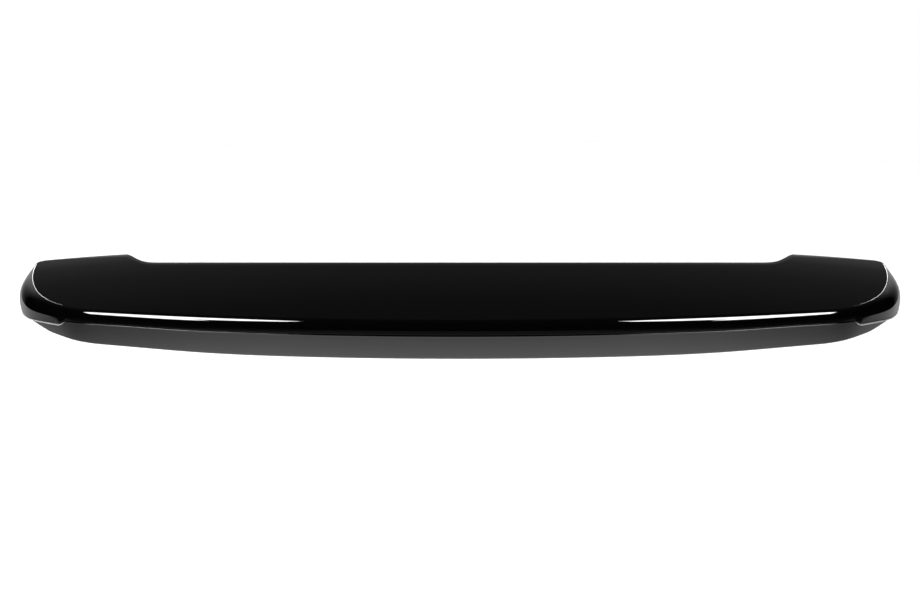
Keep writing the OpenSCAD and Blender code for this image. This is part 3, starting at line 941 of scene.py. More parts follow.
def made_plain(name, source, tree, values):
    """Runs a tree on an object once, and gives the result as a plain mesh object"""
    bpy.context.collection.objects.link(source)
    modifier = source.modifiers.new("Maker", "NODES")
    modifier.node_group = tree
    for socket in tree.interface.items_tree:
        if socket.in_out == "INPUT" and socket.name in values:
            modifier[socket.identifier] = values[socket.name]
    graph = bpy.context.evaluated_depsgraph_get()
    data = bpy.data.meshes.new_from_object(source.evaluated_get(graph), depsgraph=graph)
    source.modifiers.remove(modifier)
    blank = source.data
    bpy.data.objects.remove(source)
    bpy.data.meshes.remove(blank)
    data.name = name
    if len(data.polygons) == 0:
        raise RuntimeError(f"{name} came out empty")
    return linked(name, data)


def settle(piece, material_slot, *nodes):
    """Hands a piece over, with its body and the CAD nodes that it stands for"""
    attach(piece, "root")
    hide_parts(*nodes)


def from_crease(piece, plan):
    """Moves a piece's points from the crease's middle to the model's origin between the inner fixings"""
    offset = Vector((0.0, -plan.crease_back, plan.crease_up))
    for v in piece.data.vertices:
        v.co += offset
    piece.data.update()


def places(name, spots):
    """An object with a point at each place"""
    data = bpy.data.meshes.new(name)
    data.from_pydata(spots, [], [])
    return bpy.data.objects.new(name, data)


def seats():
    """The places of the bosses' seats: the middle of each gasket's upper face"""
    spots = []
    for gasket in GASKETS:
        low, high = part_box(gasket)
        spots.append(((low[0] + high[0]) / 2, (low[1] + high[1]) / 2, high[2]))
    return places("Seats", spots)


# Operators


class SpoilerUpperMoulding(bpy.types.Operator):
    """Sweeps the upper moulding's section along the crease, with its panel, bullnose and rolled lip"""
    bl_idname = "spoiler.upper_moulding"
    bl_label = "Upper moulding"

    def execute(self, context):
        sizes = context.scene.spoiler
        shape = Outline(sizes)
        lengths = both_sides(shape.half(0.0, shape.s_last))

        def facts(s):
            w = shape.front_at(s)
            return {
                "crease": shape.under_panel(shape.crease(s), 0),
                "outward": shape.outward(s),
                "edge": shape.front(w),
                "ahead": shape.ahead(w),
                "nose": shape.nose_radius(s),
                "roll": shape.roll_radius(s),
                "under": shape.under(s),
                "upright": shape.upright(s),
                "drop": shape.roof_drop(s),
                "fillet": shape.fillet_radius(s),
            }
        values = {
            "Fall": sizes.panel.fall,
            "Camber radius": sizes.panel.camber_radius,
            "Crown radius": sizes.panel.crown_radius,
            "Wall": sizes.panel.wall,
            "Rim depth": sizes.panel.rim_depth,
            "Rim radius": sizes.panel.rim_radius,
            "Crease softness": sizes.panel.crease_softness,
            "Bullnose angle": sizes.nose.start_angle,
        }
        tree = SectionTree("Upper moulding", len(lengths), values)
        tree.begin(104)
        self.section(tree)
        tree.close(tree.build(), lacquer(sizes.finish))
        source = stations("Crease stations", lengths, facts)
        piece = made_plain("upper_moulding", source, tree.tree, values)
        from_crease(piece, sizes.plan)
        settle(piece, "gloss_black", "upper_shell")
        return {"FINISHED"}

    def section(self, g):
        crease, outward, edge, ahead = g.fact("crease"), g.fact("outward"), g.fact("edge"), g.fact("ahead")
        nose, roll, under = g.number("nose"), g.number("roll"), g.number("under")
        drop, fillet, upright = g.number("drop"), g.number("fillet"), g.number("upright")
        wall, rim, rim_radius = g.size_of("Wall"), g.size_of("Rim depth"), g.size_of("Rim radius")
        start, soft = g.size_of("Bullnose angle"), g.size_of("Crease softness")
        slope = g.maths("TANGENT", g.size_of("Fall"))
        camber, crown = g.size_of("Camber radius") * 2.0, g.size_of("Crown radius") * 2.0

        def on_panel(p, down):
            x, y = p.part("X"), p.part("Y")
            return g.vector(x, y, slope * y - y * y / camber - x * x / crown - down)

        def at(q):
            return crease + outward * q[0] + g.vector(0.0, 0.0, q[1])

        def polar_at(centre, radius, turn):
            c, s = g.polar(radius, turn)
            return at((centre[0] + c, centre[1] + s))

        c, s = g.polar(nose, start)
        nose_centre = (-c, -s)
        c, s = g.polar(nose - roll, -under)
        roll_centre = (nose_centre[0] + c, nose_centre[1] + s - upright)
        lip_low = roll_centre[1] - roll
        lip_in = roll_centre[0] + roll - wall
        top = edge - ahead * rim_radius
        flat_crease = crease * (1.0, 1.0, 0.0)
        toward = (flat_crease - top).unit()
        panel_end = flat_crease - toward * soft
        soft_turn = start - soft / nose
        inner_edge = edge - ahead * wall
        inner_centre = (lip_in - fillet, -drop - fillet)
        back = flat_crease + outward * inner_centre[0]

        g.line(4, on_panel(edge, rim), on_panel(edge, rim_radius))
        g.run(6, lambda t: on_panel(top + ahead * (rim_radius * (t * SQUARE).cos()),
                                    rim_radius * (1.0 - (t * SQUARE).sin())))
        g.run(26, lambda t: on_panel(top + (panel_end - top) * (1.0 - (1.0 - t) ** 1.6), 0.0))
        p0, p1, p2 = on_panel(panel_end, 0.0), crease, polar_at(nose_centre, nose, soft_turn)
        g.run(6, lambda t: p0 * ((1.0 - t) * (1.0 - t)) + p1 * (t * (1.0 - t) * 2.0) + p2 * (t * t))

        def side(t):
            turn = soft_turn + (-under - soft_turn) * t
            share_of = ((UPRIGHT_TURN - turn) / (UPRIGHT_TURN + under)).clamped()
            share_of = share_of * share_of * (3.0 - share_of * 2.0)
            return polar_at(nose_centre, nose, turn) - g.vector(0.0, 0.0, upright * share_of)

        g.run(34, side)
        g.run(8, lambda t: polar_at(roll_centre, roll, -under + (under - SQUARE) * t))
        g.line(2, at((roll_centre[0], lip_low)), at((lip_in, lip_low)))
        g.line(2, at((lip_in, lip_low)), at((lip_in, inner_centre[1])))
        g.run(6, lambda t: polar_at(inner_centre, fillet, t * SQUARE))
        g.run(8, lambda t: on_panel(back + (inner_edge - back) * t, drop))
        g.line(2, on_panel(inner_edge, drop), on_panel(inner_edge, rim))


class SpoilerLowerMoulding(bpy.types.Operator):
    """Sweeps the lower moulding's section: rear face, foot, sealing land, floor and front land"""
    bl_idname = "spoiler.lower_moulding"
    bl_label = "Lower moulding"

    def execute(self, context):
        sizes = context.scene.spoiler
        shape = Outline(sizes)
        lengths = both_sides(shape.half(0.0, shape.s_end - TIP_STOP))

        def facts(s):
            lean = shape.lower.face_lean
            inward = shape.outward(s) * -math.cos(lean)
            top, foot = shape.face_top(s), shape.face_foot(s)
            nest_top = shape.nest_foot(s) + Vector((0, shape.panel.bond_gap + shape.nest(s)))
            return {
                "nest": shape.at(s, nest_top),
                "nest_foot": shape.at(s, shape.nest_foot(s)),
                "ledge": shape.at(s, shape.ledge(s)),
                "bead": shape.at(s, shape.bead(s)),
                "bead_radius": shape.bead_radius(s),
                "seam": shape.outside_step(s),
                "hidden": shape.face_share(s),
                "top": shape.at(s, top),
                "foot": shape.at(s, foot),
                "hollow": Vector((inward.x, inward.y, math.sin(lean))),
                "outward": shape.outward(s),
                "cut": shape.foot_cut(s),
                "land": shape.land_end(s),
                "ramp": shape.floor_foot(s),
                "floor": shape.under_panel(shape.front_land(s), shape.panel.rim_depth),
                "rim": shape.under_panel(shape.nest_front(s), shape.panel.rim_depth),
                "rim_top": shape.under_panel(shape.nest_front(s), shape.panel.wall + shape.panel.bond_gap),
                "softness": min(shape.lower.soft_corner, SOFT_LIMIT * shape.face_drop(s)),
            }
        values = {"Wall": sizes.panel.wall, "Face bow radius": sizes.lower.bow_radius}
        tree = SectionTree("Lower moulding", len(lengths), values)
        tree.begin(100)
        self.section(tree)
        body = tree.build()
        body = tree.stored(body, "grained", tree.at_least(tree.place, FIRST_GRAINED - 0.5))
        # Bead points outside the lip's step are marked pale: their colour is a painted highlight along the
        # joint
        on_bead = tree.between(*BEAD_POINTS)
        body = tree.stored(body, "pale", on_bead * tree.number("seam"))
        tree.close(body, moulded_black(sizes.finish))
        source = stations("Foot stations", lengths, facts)
        piece = made_plain("lower_moulding", source, tree.tree, values)
        from_crease(piece, sizes.plan)
        settle(piece, "lower_black", "lower_shell")
        return {"FINISHED"}

    def section(self, g):
        nest, top, foot, inward = g.fact("nest"), g.fact("top"), g.fact("foot"), g.fact("hollow")
        nest_foot, bead, bead_radius = g.fact("nest_foot"), g.fact("bead"), g.number("bead_radius")
        hidden = g.number("hidden")
        land, ramp, floor = g.fact("land"), g.fact("ramp"), g.fact("floor")
        rim, rim_top, ledge = g.fact("rim"), g.fact("rim_top"), g.fact("ledge")
        cut, soft, outward = g.number("cut"), g.number("softness"), g.fact("outward")
        wall = g.size_of("Wall")
        chord = foot - top
        span = chord.size()
        bow = span * span / (g.size_of("Face bow radius") * 8.0)

        def face(t):
            return top + chord * t - inward * (bow * 4.0 * t * (1.0 - t))

        t_end = 1.0 - cut / span
        face_end = face(t_end)
        along = (chord - inward * (bow * 4.0 * (1.0 - t_end * 2.0))).unit()
        sharp = face_end + along * cut
        land_way = (land - sharp).unit()

        def round_bead(t):
            c, h = g.polar(bead_radius, SQUARE - t * BEAD_TURN)
            return bead + outward * c + g.vector(0.0, 0.0, h)

        g.line(2, nest, nest_foot)
        g.line(1, nest_foot, round_bead(0.0))
        g.run(8, round_bead)
        g.run(24, lambda t: face(hidden + (t_end - hidden) * t))
        _, foot_end = g.corner(14, face_end, sharp, land, cut)
        g.line(4, foot_end, land - land_way * soft)
        land_stop = g.corner(4, sharp, land, ramp, soft)[1]
        g.line(2, land_stop, ramp - (ramp - land).unit() * soft)
        ramp_stop = g.corner(4, land, ramp, floor, soft)[1]
        g.line(10, ramp_stop, floor - (floor - ramp).unit() * soft)
        floor_stop = g.corner(3, ramp, floor, rim, soft)[1]
        g.line(4, floor_stop, rim - (rim - floor).unit() * (soft * 0.5))
        rim_stop = g.corner(3, floor, rim, rim_top, soft * 0.5)[1]
        g.line(2, rim_stop, rim_top)
        lift = g.vector(0.0, 0.0, wall)
        inner_floor = floor + lift
        inner_ramp = ramp + lift
        inner_land = land + lift
        into = (land_way - along).unit()
        half = g.maths("SQRT", (along.dot(land_way) + 1.0) * 0.5)
        inner_foot = sharp + into * (wall * INNER_FOOT / half)
        inner_face = face(hidden + (1.0 - hidden) * INNER_START) + inward * wall
        g.line(1, rim_top, inner_floor)
        g.line(3, inner_floor, inner_ramp)
        g.line(2, inner_ramp, inner_land)
        g.line(2, inner_land, inner_foot)
        g.line(3, inner_foot, inner_face)
        g.line(2, inner_face, ledge)
        g.line(2, ledge, nest - outward * wall)


class SpoilerBosses(bpy.types.Operator):
    """Turns the boss of each fixing, with ribs between its flange and the floor"""
    bl_idname = "spoiler.bosses"
    bl_label = "Bosses"

    def execute(self, context):
        sizes = context.scene.spoiler
        f = sizes.fixings
        values = {"Height": f.boss_height, "Seat thickness": f.seat_thickness, "Edge break": f.edge_break,
                  "Rib thickness": f.rib_thickness, "Rib height": f.rib_height}
        tree = TurnedTree("Bosses", 0, values)
        tree.begin(42, 64)
        top, seat_top = tree.size_of("Height"), tree.size_of("Seat thickness")
        soft, fillet = tree.size_of("Edge break"), f.flange_fillet
        bore = f.insert_diameter / 2 + f.insert_gap
        boss, flange = f.boss_diameter / 2, f.seat_diameter / 2
        spots = [tree.spot(bore, f.bore_lead), tree.spot(bore, top), tree.spot(boss, top),
                 tree.spot(boss, seat_top), tree.spot(flange, seat_top), tree.spot(flange, 0.0),
                 tree.spot(bore + f.bore_lead, 0.0)]
        tree.rounded(spots, [CRISP, soft, soft, fillet, soft, soft, CRISP])
        body = tree.stored(tree.build(), "grained", 1.0)
        shape = tree.joined(body, tree.stored(self.ribs(tree, boss, flange, f.ribs), "grained", 1.0))
        tree.close(tree.at_stations(shape), moulded_black(sizes.finish), turned=False)
        piece = made_plain("bosses", seats(), tree.tree, values)
        settle(piece, "lower_black", "lower_shell")
        return {"FINISHED"}

    def ribs(self, g, boss, flange, number_of_ribs):
        """Ribs that narrow from the flange upwards"""
        reach = flange - boss - RIB_OVERLAP
        tall = g.size_of("Rib height") + RIB_OVERLAP
        block = g.node("GeometryNodeMeshCube", {},
                       {"Size": g.vector(reach + RIB_OVERLAP, g.size_of("Rib thickness"), tall)}, "Mesh")
        place = g.node("GeometryNodeInputPosition")
        outer_top = g.at_least(place.part("X"), 0.0) * 1.0 * g.at_least(place.part("Z"), 0.0)
        rib = g.offset(block, g.vector(outer_top * (-RIB_TAPER * reach), 0.0, 0.0))
        middle = boss - RIB_OVERLAP + (reach + RIB_OVERLAP) / 2
        ring = g.node("GeometryNodeMeshCircle", {}, {"Vertices": number_of_ribs, "Radius": middle}, "Mesh")
        turn = g.node("GeometryNodeInputIndex") / float(number_of_ribs) * math.tau
        ribs = g.node("GeometryNodeInstanceOnPoints", {},
                      {"Points": ring, "Instance": rib, "Rotation": g.vector(0.0, 0.0, turn)}, "Instances")
        ribs = g.node("GeometryNodeRealizeInstances", {}, {"Geometry": ribs}, "Geometry")
        lift = g.size_of("Seat thickness") - RIB_OVERLAP + tall * 0.5
        return g.offset(ribs, g.vector(0.0, 0.0, lift))


class SpoilerPins(bpy.types.Operator):
    """Turns the two locating pins, each with a shouldered foot and a rounded tip"""
    bl_idname = "spoiler.pins"
    bl_label = "Locating pins"

    def execute(self, context):
        sizes = context.scene.spoiler
        f = sizes.fixings
        values = {"Foot height": f.pin_foot_height, "Length": f.pin_length, "Edge break": f.edge_break}
        tree = TurnedTree("Locating pins", 0, values)
        tree.begin(38, 48, capped=True)
        top, down, soft = tree.size_of("Foot height"), -tree.size_of("Length"), tree.size_of("Edge break")
        foot, pin = f.pin_foot_diameter / 2, f.pin_diameter / 2
        cone, tip = pin * PIN_CONE, pin * PIN_TIP
        spots = [tree.spot(POLE, top), tree.spot(foot, top), tree.spot(foot, 0.0), tree.spot(pin, 0.0),
                 tree.spot(pin, down + cone), tree.spot(tip, down), tree.spot(POLE, down)]
        end = spots[0]
        cuts = [soft, soft, 0.0006, 0.002, 0.0012]
        for before, at, after, cut in zip(spots, spots[1:], spots[2:], cuts):
            tree.line(2, end, at - (at - before).unit() * cut)
            end = tree.corner(5, before, at, after, cut)[1]
        tree.line(3, end, spots[-1])
        body = tree.stored(tree.build(), "grained", 0.4)
        tree.close(tree.at_stations(body), moulded_black(sizes.finish), turned=False)
        shoulders = [(side * f.pin_aside, f.pin_forward, f.pin_shoulder) for side in (-1, 1)]
        piece = made_plain("locating_pins", places("Shoulders", shoulders), tree.tree, values)
        settle(piece, "lower_black", "lower_shell")
        return {"FINISHED"}


class SpoilerInserts(bpy.types.Operator):
    """Turns the threaded inserts, with a helical thread in each bore"""
    bl_idname = "spoiler.inserts"
    bl_label = "Threaded inserts"

    def execute(self, context):
        sizes = context.scene.spoiler
        f = sizes.fixings
        values = {"Length": f.insert_length, "Bore": f.insert_bore, "Thread pitch": f.thread_pitch,
                  "Thread depth": f.thread_depth}
        tree = TurnedTree("Threaded inserts", 0, values)
        thread_points = 120
        tree.begin(thread_points + 18, 48)
        top, bore = tree.size_of("Length"), tree.size_of("Bore") / 2.0
        pitch, depth = tree.size_of("Thread pitch"), tree.size_of("Thread depth")
        outer, lead, soft = f.insert_diameter / 2, f.bore_lead, f.bore_lead / 2
        mouth, foot = tree.spot(bore + lead, 0.0), tree.spot(outer, 0.0)
        shoulder, bore_top = tree.spot(outer, top), tree.spot(bore, top)
        tree.line(3, mouth, foot - tree.vector(soft, 0.0, 0.0))
        start = tree.corner(4, mouth, foot, shoulder, soft)[1]
        tree.line(3, start, shoulder)
        tree.line(3, shoulder, bore_top)

        def thread(t):
            z = top * (1.0 - t) + lead * t
            wave = tree.maths("PINGPONG", (z / pitch + tree.turn / math.tau) * 2.0 + 100.0, 1.0)
            return tree.vector(bore + depth * wave, 0.0, z)
        tree.run(thread_points, thread)
        tree.line(5, thread(1.0), mouth)
        tree.close(tree.at_stations(tree.build()), brass(sizes.finish))
        piece = made_plain("threaded_inserts_brass", seats(), tree.tree, values)
        settle(piece, "insert_brass", "threaded_inserts")
        return {"FINISHED"}


class SpoilerGaskets(bpy.types.Operator):
    """Turns the foam gasket of each boss, pressed slightly round at its rim"""
    bl_idname = "spoiler.gaskets"
    bl_label = "Boss gaskets"

    def execute(self, context):
        sizes = context.scene.spoiler
        f = sizes.fixings
        values = {"Thickness": f.gasket_thickness, "Hole": f.gasket_hole}
        tree = TurnedTree("Boss gaskets", 0, values)
        tree.begin(32, 72)
        down, hole, rim = -tree.size_of("Thickness"), tree.size_of("Hole") / 2.0, f.seat_diameter / 2
        spots = [tree.spot(hole, 0.0), tree.spot(hole, down), tree.spot(rim, down), tree.spot(rim, 0.0)]
        cuts = [0.0002, 0.0006, 0.0009, 0.0002]
        tree.rounded(spots, cuts, corner_points=5, line_points=3)
        tree.close(tree.at_stations(tree.build()), foam(sizes.finish))
        piece = made_plain("boss_gaskets", seats(), tree.tree, values)
        settle(piece, "foam", *GASKETS)
        return {"FINISHED"}


def laid_strip(sizes, name, lengths, edges, cut, material):
    """Sweeps a strip under a land, whose two edges edges(s) gives; cut is (thickness, margin, bulge)"""
    thickness, margin, bulge = cut
    film = Vector((0, 0, sizes.seals.film))

    def facts(s):
        a, b = edges(s)
        step = (b - a).normalized() * margin
        return {"a": a + step - film, "b": b - step - film}
    values = {"Thickness": thickness}
    tree = SectionTree(name, len(lengths), values)
    tree.begin(36)
    a, b, thick = tree.fact("a"), tree.fact("b"), tree.size_of("Thickness")
    shoulder = thick * (1.0 - bulge)
    down = tree.vector(0.0, 0.0, shoulder)
    low_a, low_b = a - down, b - down

    def under(t):
        swell = 1.0 - (t * 2.0 - 1.0) ** 4.0
        return low_b + (low_a - low_b) * t - tree.vector(0.0, 0.0, (thick - shoulder) * swell)
    tree.line(6, a, b)
    tree.line(4, b, low_b)
    tree.run(22, under)
    tree.line(4, low_a, a)
    shape = tree.stored(tree.build(), "underside", tree.between(*STRIP_UNDERSIDE))
    tree.close(shape, material, turned=False)
    piece = made_plain(name, stations(name + " stations", lengths, facts), tree.tree, values)
    from_crease(piece, sizes.plan)
    return piece


class SpoilerTapes(bpy.types.Operator):
    """Lays the tape under the front land, along the middle and round each ear"""
    bl_idname = "spoiler.tapes"
    bl_label = "Tapes"

    def execute(self, context):
        sizes = context.scene.spoiler
        seals = sizes.seals
        shape = Outline(sizes)
        material = tape_and_liner(sizes.finish)

        def edges(s):
            rim = shape.panel.rim_depth
            return shape.under_panel(shape.front_land(s), rim), shape.under_panel(shape.nest_front(s), rim)
        ear = shape.half(seals.tape_start, seals.tape_end)
        cut = (seals.tape_thickness, seals.tape_margin, seals.tape_bulge)
        runs = {
            "tape_middle": both_sides(shape.half(0.0, shape.s_fan)),
            "tape_ear_left": [-s for s in reversed(ear)],
            "tape_ear_right": ear,
        }
        for node, lengths in runs.items():
            piece = laid_strip(sizes, "liner_" + node, lengths, edges, cut, material)
            settle(piece, "tape", node)
        return {"FINISHED"}


class SpoilerRearSeal(bpy.types.Operator):
    """Lays the rubber seal under the rear land, round at its underside"""
    bl_idname = "spoiler.rear_seal"
    bl_label = "Rear seal"

    def execute(self, context):
        sizes = context.scene.spoiler
        seals = sizes.seals
        shape = Outline(sizes)

        def edges(s):
            start = shape.face_foot(s) + shape.foot_cut(s) * shape.land_direction(s)
            return shape.at(s, start), shape.land_end(s)
        lengths = both_sides(shape.half(0.0, seals.seal_end))
        cut = (seals.seal_thickness, seals.seal_margin, seals.seal_bulge)
        piece = laid_strip(sizes, "rear_seal_rubber", lengths, edges, cut, rubber(sizes.finish))
        settle(piece, "foam", "seal_rear")
        return {"FINISHED"}


# Corners of the right softbox seen from above; its reflection is the white band along the bullnose
SOFTBOX = ((0.62, -0.45), (0.78, -0.24), (1.05, -0.14), (1.50, -0.11), (1.78, -0.18), (1.85, -0.60),
           (1.82, -1.25), (1.65, -1.55), (1.36, -1.58), (1.31, -1.10), (1.02, -0.98), (0.75, -0.76))
# Place of the right strip, in front of the spoiler; its reflection is the thin line along the ear's crease
STRIP_X = (1.88, 2.28)
STRIP_Y = 4.78
STRIP_Z = (1.05, 3.01)
SOFTBOX_HEIGHT = 2.0
TENT_RADIUS = 9.0
FLOOR_RADIUS = 3.0
KEY_SIZE = 3.0
KEY_PLACE = (-0.8, 0.6, 3.0)
# Brightness in the gloss: of the floor from its middle to each side, and of the backdrop upwards and aside
FLOOR_STOPS = ((0.0, 0.90), (0.12, 0.90), (0.17, 0.78), (0.23, 0.50), (0.28, 0.27), (0.36, 0.35),
               (0.5, 0.62), (0.7, 0.8))
RISING_STOPS = ((0.0, 0.86), (0.14, 0.86), (0.225, 0.62), (0.276, 0.33), (0.342, 0.10), (0.39, 0.06),
                (0.5, 0.028), (0.7, 0.01))
ASIDE_STOPS = ((0.0, 1.0), (0.42, 1.0), (0.545, 0.55), (0.60, 0.30), (0.67, 0.12), (0.76, 0.0))


class SpoilerStudioStage(bpy.types.Operator):
    """Places the floor, the lamp, the tent with its softboxes and strips, and the camera"""
    bl_idname = "spoiler.studio"
    bl_label = "Studio"

    def execute(self, context):
        studio = context.scene.spoiler.studio
        context.scene.view_settings.view_transform = "Standard"
        self.world(context, studio)
        self.floor(studio)
        self.reflections(studio)
        self.camera(context, studio)
        return {"FINISHED"}

    def world(self, context, studio):
        world = bpy.data.worlds.new("Studio")
        world.use_nodes = True
        world.node_tree.nodes.clear()
        g = Bench(world.node_tree)
        seen = g.maths("MAXIMUM", ray(g, "Is Camera Ray"), ray(g, "Is Glossy Ray"))
        seen = g.maths("MAXIMUM", seen, ray(g, "Is Transmission Ray"))
        white = g.node("ShaderNodeBackground", {}, {"Color": (1.0, 1.0, 1.0, 1.0), "Strength": 1.0})
        fill = g.node("ShaderNodeBackground", {}, {"Color": (1.0, 1.0, 1.0, 1.0), "Strength": studio.fill})
        both = g.node("ShaderNodeMixShader", {}, (seen, fill, white))
        g.node("ShaderNodeOutputWorld", {}, (both,))
        context.scene.world = world

    def floor(self, studio):
        """Pale round floor, lit softly from above"""
        turns = [math.tau * i / 64 for i in range(64)]
        rim = [(FLOOR_RADIUS * math.cos(a), FLOOR_RADIUS * math.sin(a), -studio.floor_drop) for a in turns]
        sheet = flat_sheet("floor", rim)
        sheet.data.materials.append(pale_floor(studio))
        data = bpy.data.lights.new("Key", "AREA")
        data.shape = "DISK"
        data.size = KEY_SIZE
        data.energy = studio.key
        lamp = linked("Key", data)
        lamp.location = KEY_PLACE
        lamp.rotation_euler = Vector(lamp.location).to_track_quat("Z", "Y").to_euler()
        lamp.visible_glossy = False
        lamp.visible_camera = False

    def reflections(self, studio):
        """What the gloss shows: a dark tent with a glowing backdrop of painted light, two softboxes
        overhead and two strips
        """
        data = bpy.data.meshes.new("tent")
        shell = bmesh.new()
        bmesh.ops.create_uvsphere(shell, u_segments=64, v_segments=32, radius=TENT_RADIUS)
        shell.to_mesh(data)
        shell.free()
        tent = linked("tent", data)
        data.materials.append(tent_cloth())
        made = [tent]
        glow = glowing("softbox", studio.softbox)
        strip = glowing("upright strip", studio.strip)
        low, high = STRIP_Z
        for side in (-1, 1):
            box = flat_sheet(f"softbox_{side + 1}", [(side * x, y, SOFTBOX_HEIGHT) for x, y in SOFTBOX])
            box.data.materials.append(glow)
            near, far = side * STRIP_X[0], side * STRIP_X[1]
            corners = [(near, low), (far, low), (far, high), (near, high)]
            post = flat_sheet(f"strip_{side + 1}", [(x, STRIP_Y, z) for x, z in corners])
            post.data.materials.append(strip)
            made += [box, post]
        for piece in made:
            piece.visible_camera = False
            piece.visible_diffuse = False
            piece.visible_shadow = False

    def camera(self, context, studio):
        data = bpy.data.cameras.new("Camera")
        data.lens = studio.lens
        data.sensor_width = 36.0
        data.clip_end = 60.0
        camera = linked("Camera", data)
        back = Vector((0.0, -math.cos(studio.elevation), math.sin(studio.elevation)))
        camera.location = Vector(studio.target) + back * studio.distance
        camera.rotation_euler = (SQUARE - studio.elevation, 0.0, 0.0)
        context.scene.camera = camera


def linked(name, data):
    made = bpy.data.objects.new(name, data)
    bpy.context.collection.objects.link(made)
    return made


def flat_sheet(name, corners):
    """A flat sheet with the given corners"""
    data = bpy.data.meshes.new(name)
    data.from_pydata(corners, [], [tuple(range(len(corners)))])
    return linked(name, data)


# Finishes


def finish(name):
    material = bpy.data.materials.new(name)
    material.use_nodes = True
    material.node_tree.nodes.clear()
    return material, Bench(material.node_tree)


def own_place(g):
    return g.node("ShaderNodeTexCoord", {}, {}, "Object")


def ray(g, kind):
    return g.node("ShaderNodeLightPath", {}, {}, kind)


def noise(g, place, scale, detail=2.0):
    return g.node("ShaderNodeTexNoise", {}, {"Vector": place, "Scale": scale, "Detail": detail}, "Fac")


def bump(g, height, strength, depth):
    return g.node("ShaderNodeBump", {}, {"Height": height, "Strength": strength, "Distance": depth})


def surfaced(material, g, inputs):
    """Ends a material with one surface that has the given inputs"""
    shader = g.node("ShaderNodeBsdfPrincipled", {}, inputs)
    g.node("ShaderNodeOutputMaterial", {}, (shader,))
    return material


def lacquer(f):
    """Black lacquer, polished, with a faint orange peel"""
    material, g = finish("black lacquer")
    place = own_place(g)
    peel = noise(g, place, f.peel_scale, 1.0)
    cloud = noise(g, place, 9.0, 3.0)
    haze = cloud.ramped(0.3, 0.75, f.lacquer_roughness, f.lacquer_roughness + 0.012)
    skin = bump(g, peel, 0.02, 0.0004)
    return surfaced(material, g, {
        "Base Color": (*f.lacquer, 1.0), "Roughness": haze, "IOR": 1.5, "Normal": skin})


def moulded_black(f):
    """Moulded black plastic: polished rear face, grained underside, and at the ears a pale bead whose
    colour is a painted highlight
    """
    material, g = finish("moulded black")
    place = own_place(g)
    grained = g.marked("grained")
    grain = noise(g, place, 900.0, 3.0)
    cloud = noise(g, place, 14.0, 3.0)
    rough = cloud.ramped(0.3, 0.7, f.moulded_roughness - 0.02, f.moulded_roughness + 0.03)
    rough = rough + (f.grain_roughness - rough) * grained
    peel = noise(g, place, 180.0, 1.0)
    height = peel * 0.15 + (grain - peel * 0.15) * grained
    # Pale bead: painted highlight colour along the joint under each ear's lip
    pale = g.marked("pale")
    tone = g.mixed(pale, (*f.moulded, 1.0), (*f.painted_highlight, 1.0))
    rough = rough + (f.painted_highlight_roughness - rough) * pale
    return surfaced(material, g, {
        "Base Color": tone, "Roughness": rough, "Normal": bump(g, height, 0.12, 0.0003)})


def brass(f):
    """Turned brass with fine tool marks and a little tarnish"""
    material, g = finish("turned brass")
    place = own_place(g)
    tarnish = noise(g, place, 300.0, 3.0).ramped(0.35, 0.7)
    dull = [c * 0.72 for c in f.brass]
    tone = g.mixed(tarnish, (*f.brass, 1.0), (*dull, 1.0))
    marks = noise(g, place * (1.0, 1.0, 12.0), 900.0, 1.0)
    return surfaced(material, g, {
        "Base Color": tone, "Metallic": 1.0, "Roughness": tarnish.ramped(0.0, 1.0, 0.24, 0.42),
        "Normal": bump(g, marks, 0.15, 0.0001)})


def foam(f):
    """Black closed-cell foam, with its cells showing as a fine pitting"""
    material, g = finish("closed-cell foam")
    place = own_place(g)
    cells = g.node("ShaderNodeTexVoronoi", {}, {"Vector": place, "Scale": 1400.0}, "Distance")
    tone = noise(g, place, 120.0, 2.0).ramped(0.3, 0.7, 0.75, 1.3)
    return surfaced(material, g, {
        "Base Color": g.scaled(f.foam, tone),
        "Roughness": 0.92, "Specular IOR Level": 0.3, "Normal": bump(g, cells, 0.7, 0.0004)})


def rubber(f):
    """Matt black rubber with a fine drag along the strip and a little bloom"""
    material, g = finish("seal rubber")
    place = own_place(g)
    bloom = noise(g, place, 40.0, 3.0).ramped(0.35, 0.75, 0.8, 1.6)
    drag = noise(g, place * (0.1, 1.0, 1.0), 1200.0, 2.0)
    return surfaced(material, g, {
        "Base Color": g.scaled(f.rubber, bloom),
        "Roughness": bloom.ramped(0.8, 1.6, 0.62, 0.8), "Normal": bump(g, drag, 0.2, 0.0002)})


def tape_and_liner(f):
    """Dark foam tape; its underside is the liner, a smooth red film that is slit at intervals"""
    material, g = finish("tape and liner")
    place = own_place(g)
    film = g.above(g.marked("underside"), 0.9)
    slit = g.maths("PINGPONG", place.part("X") + place.part("Y") * 0.5 + 10.0, 0.05).ramped(0.0, 0.0006)
    wear = noise(g, place, 60.0, 3.0).ramped(0.3, 0.75, 0.85, 1.1)
    red = g.scaled(f.liner, slit.ramped(0.0, 1.0, 0.25, 1.0) * wear)
    tone = g.mixed(film, (*f.tape, 1.0), red)
    cells = noise(g, place, 1500.0, 2.0)
    ripple = noise(g, place * (1.0, 1.0, 0.2), 90.0, 2.0)
    height = cells + (ripple * 0.5 + slit * 0.5 - cells) * film
    return surfaced(material, g, {
        "Base Color": tone, "Roughness": film.ramped(0.0, 1.0, 0.9, 0.28),
        "Normal": bump(g, height, 0.3, 0.0002)})


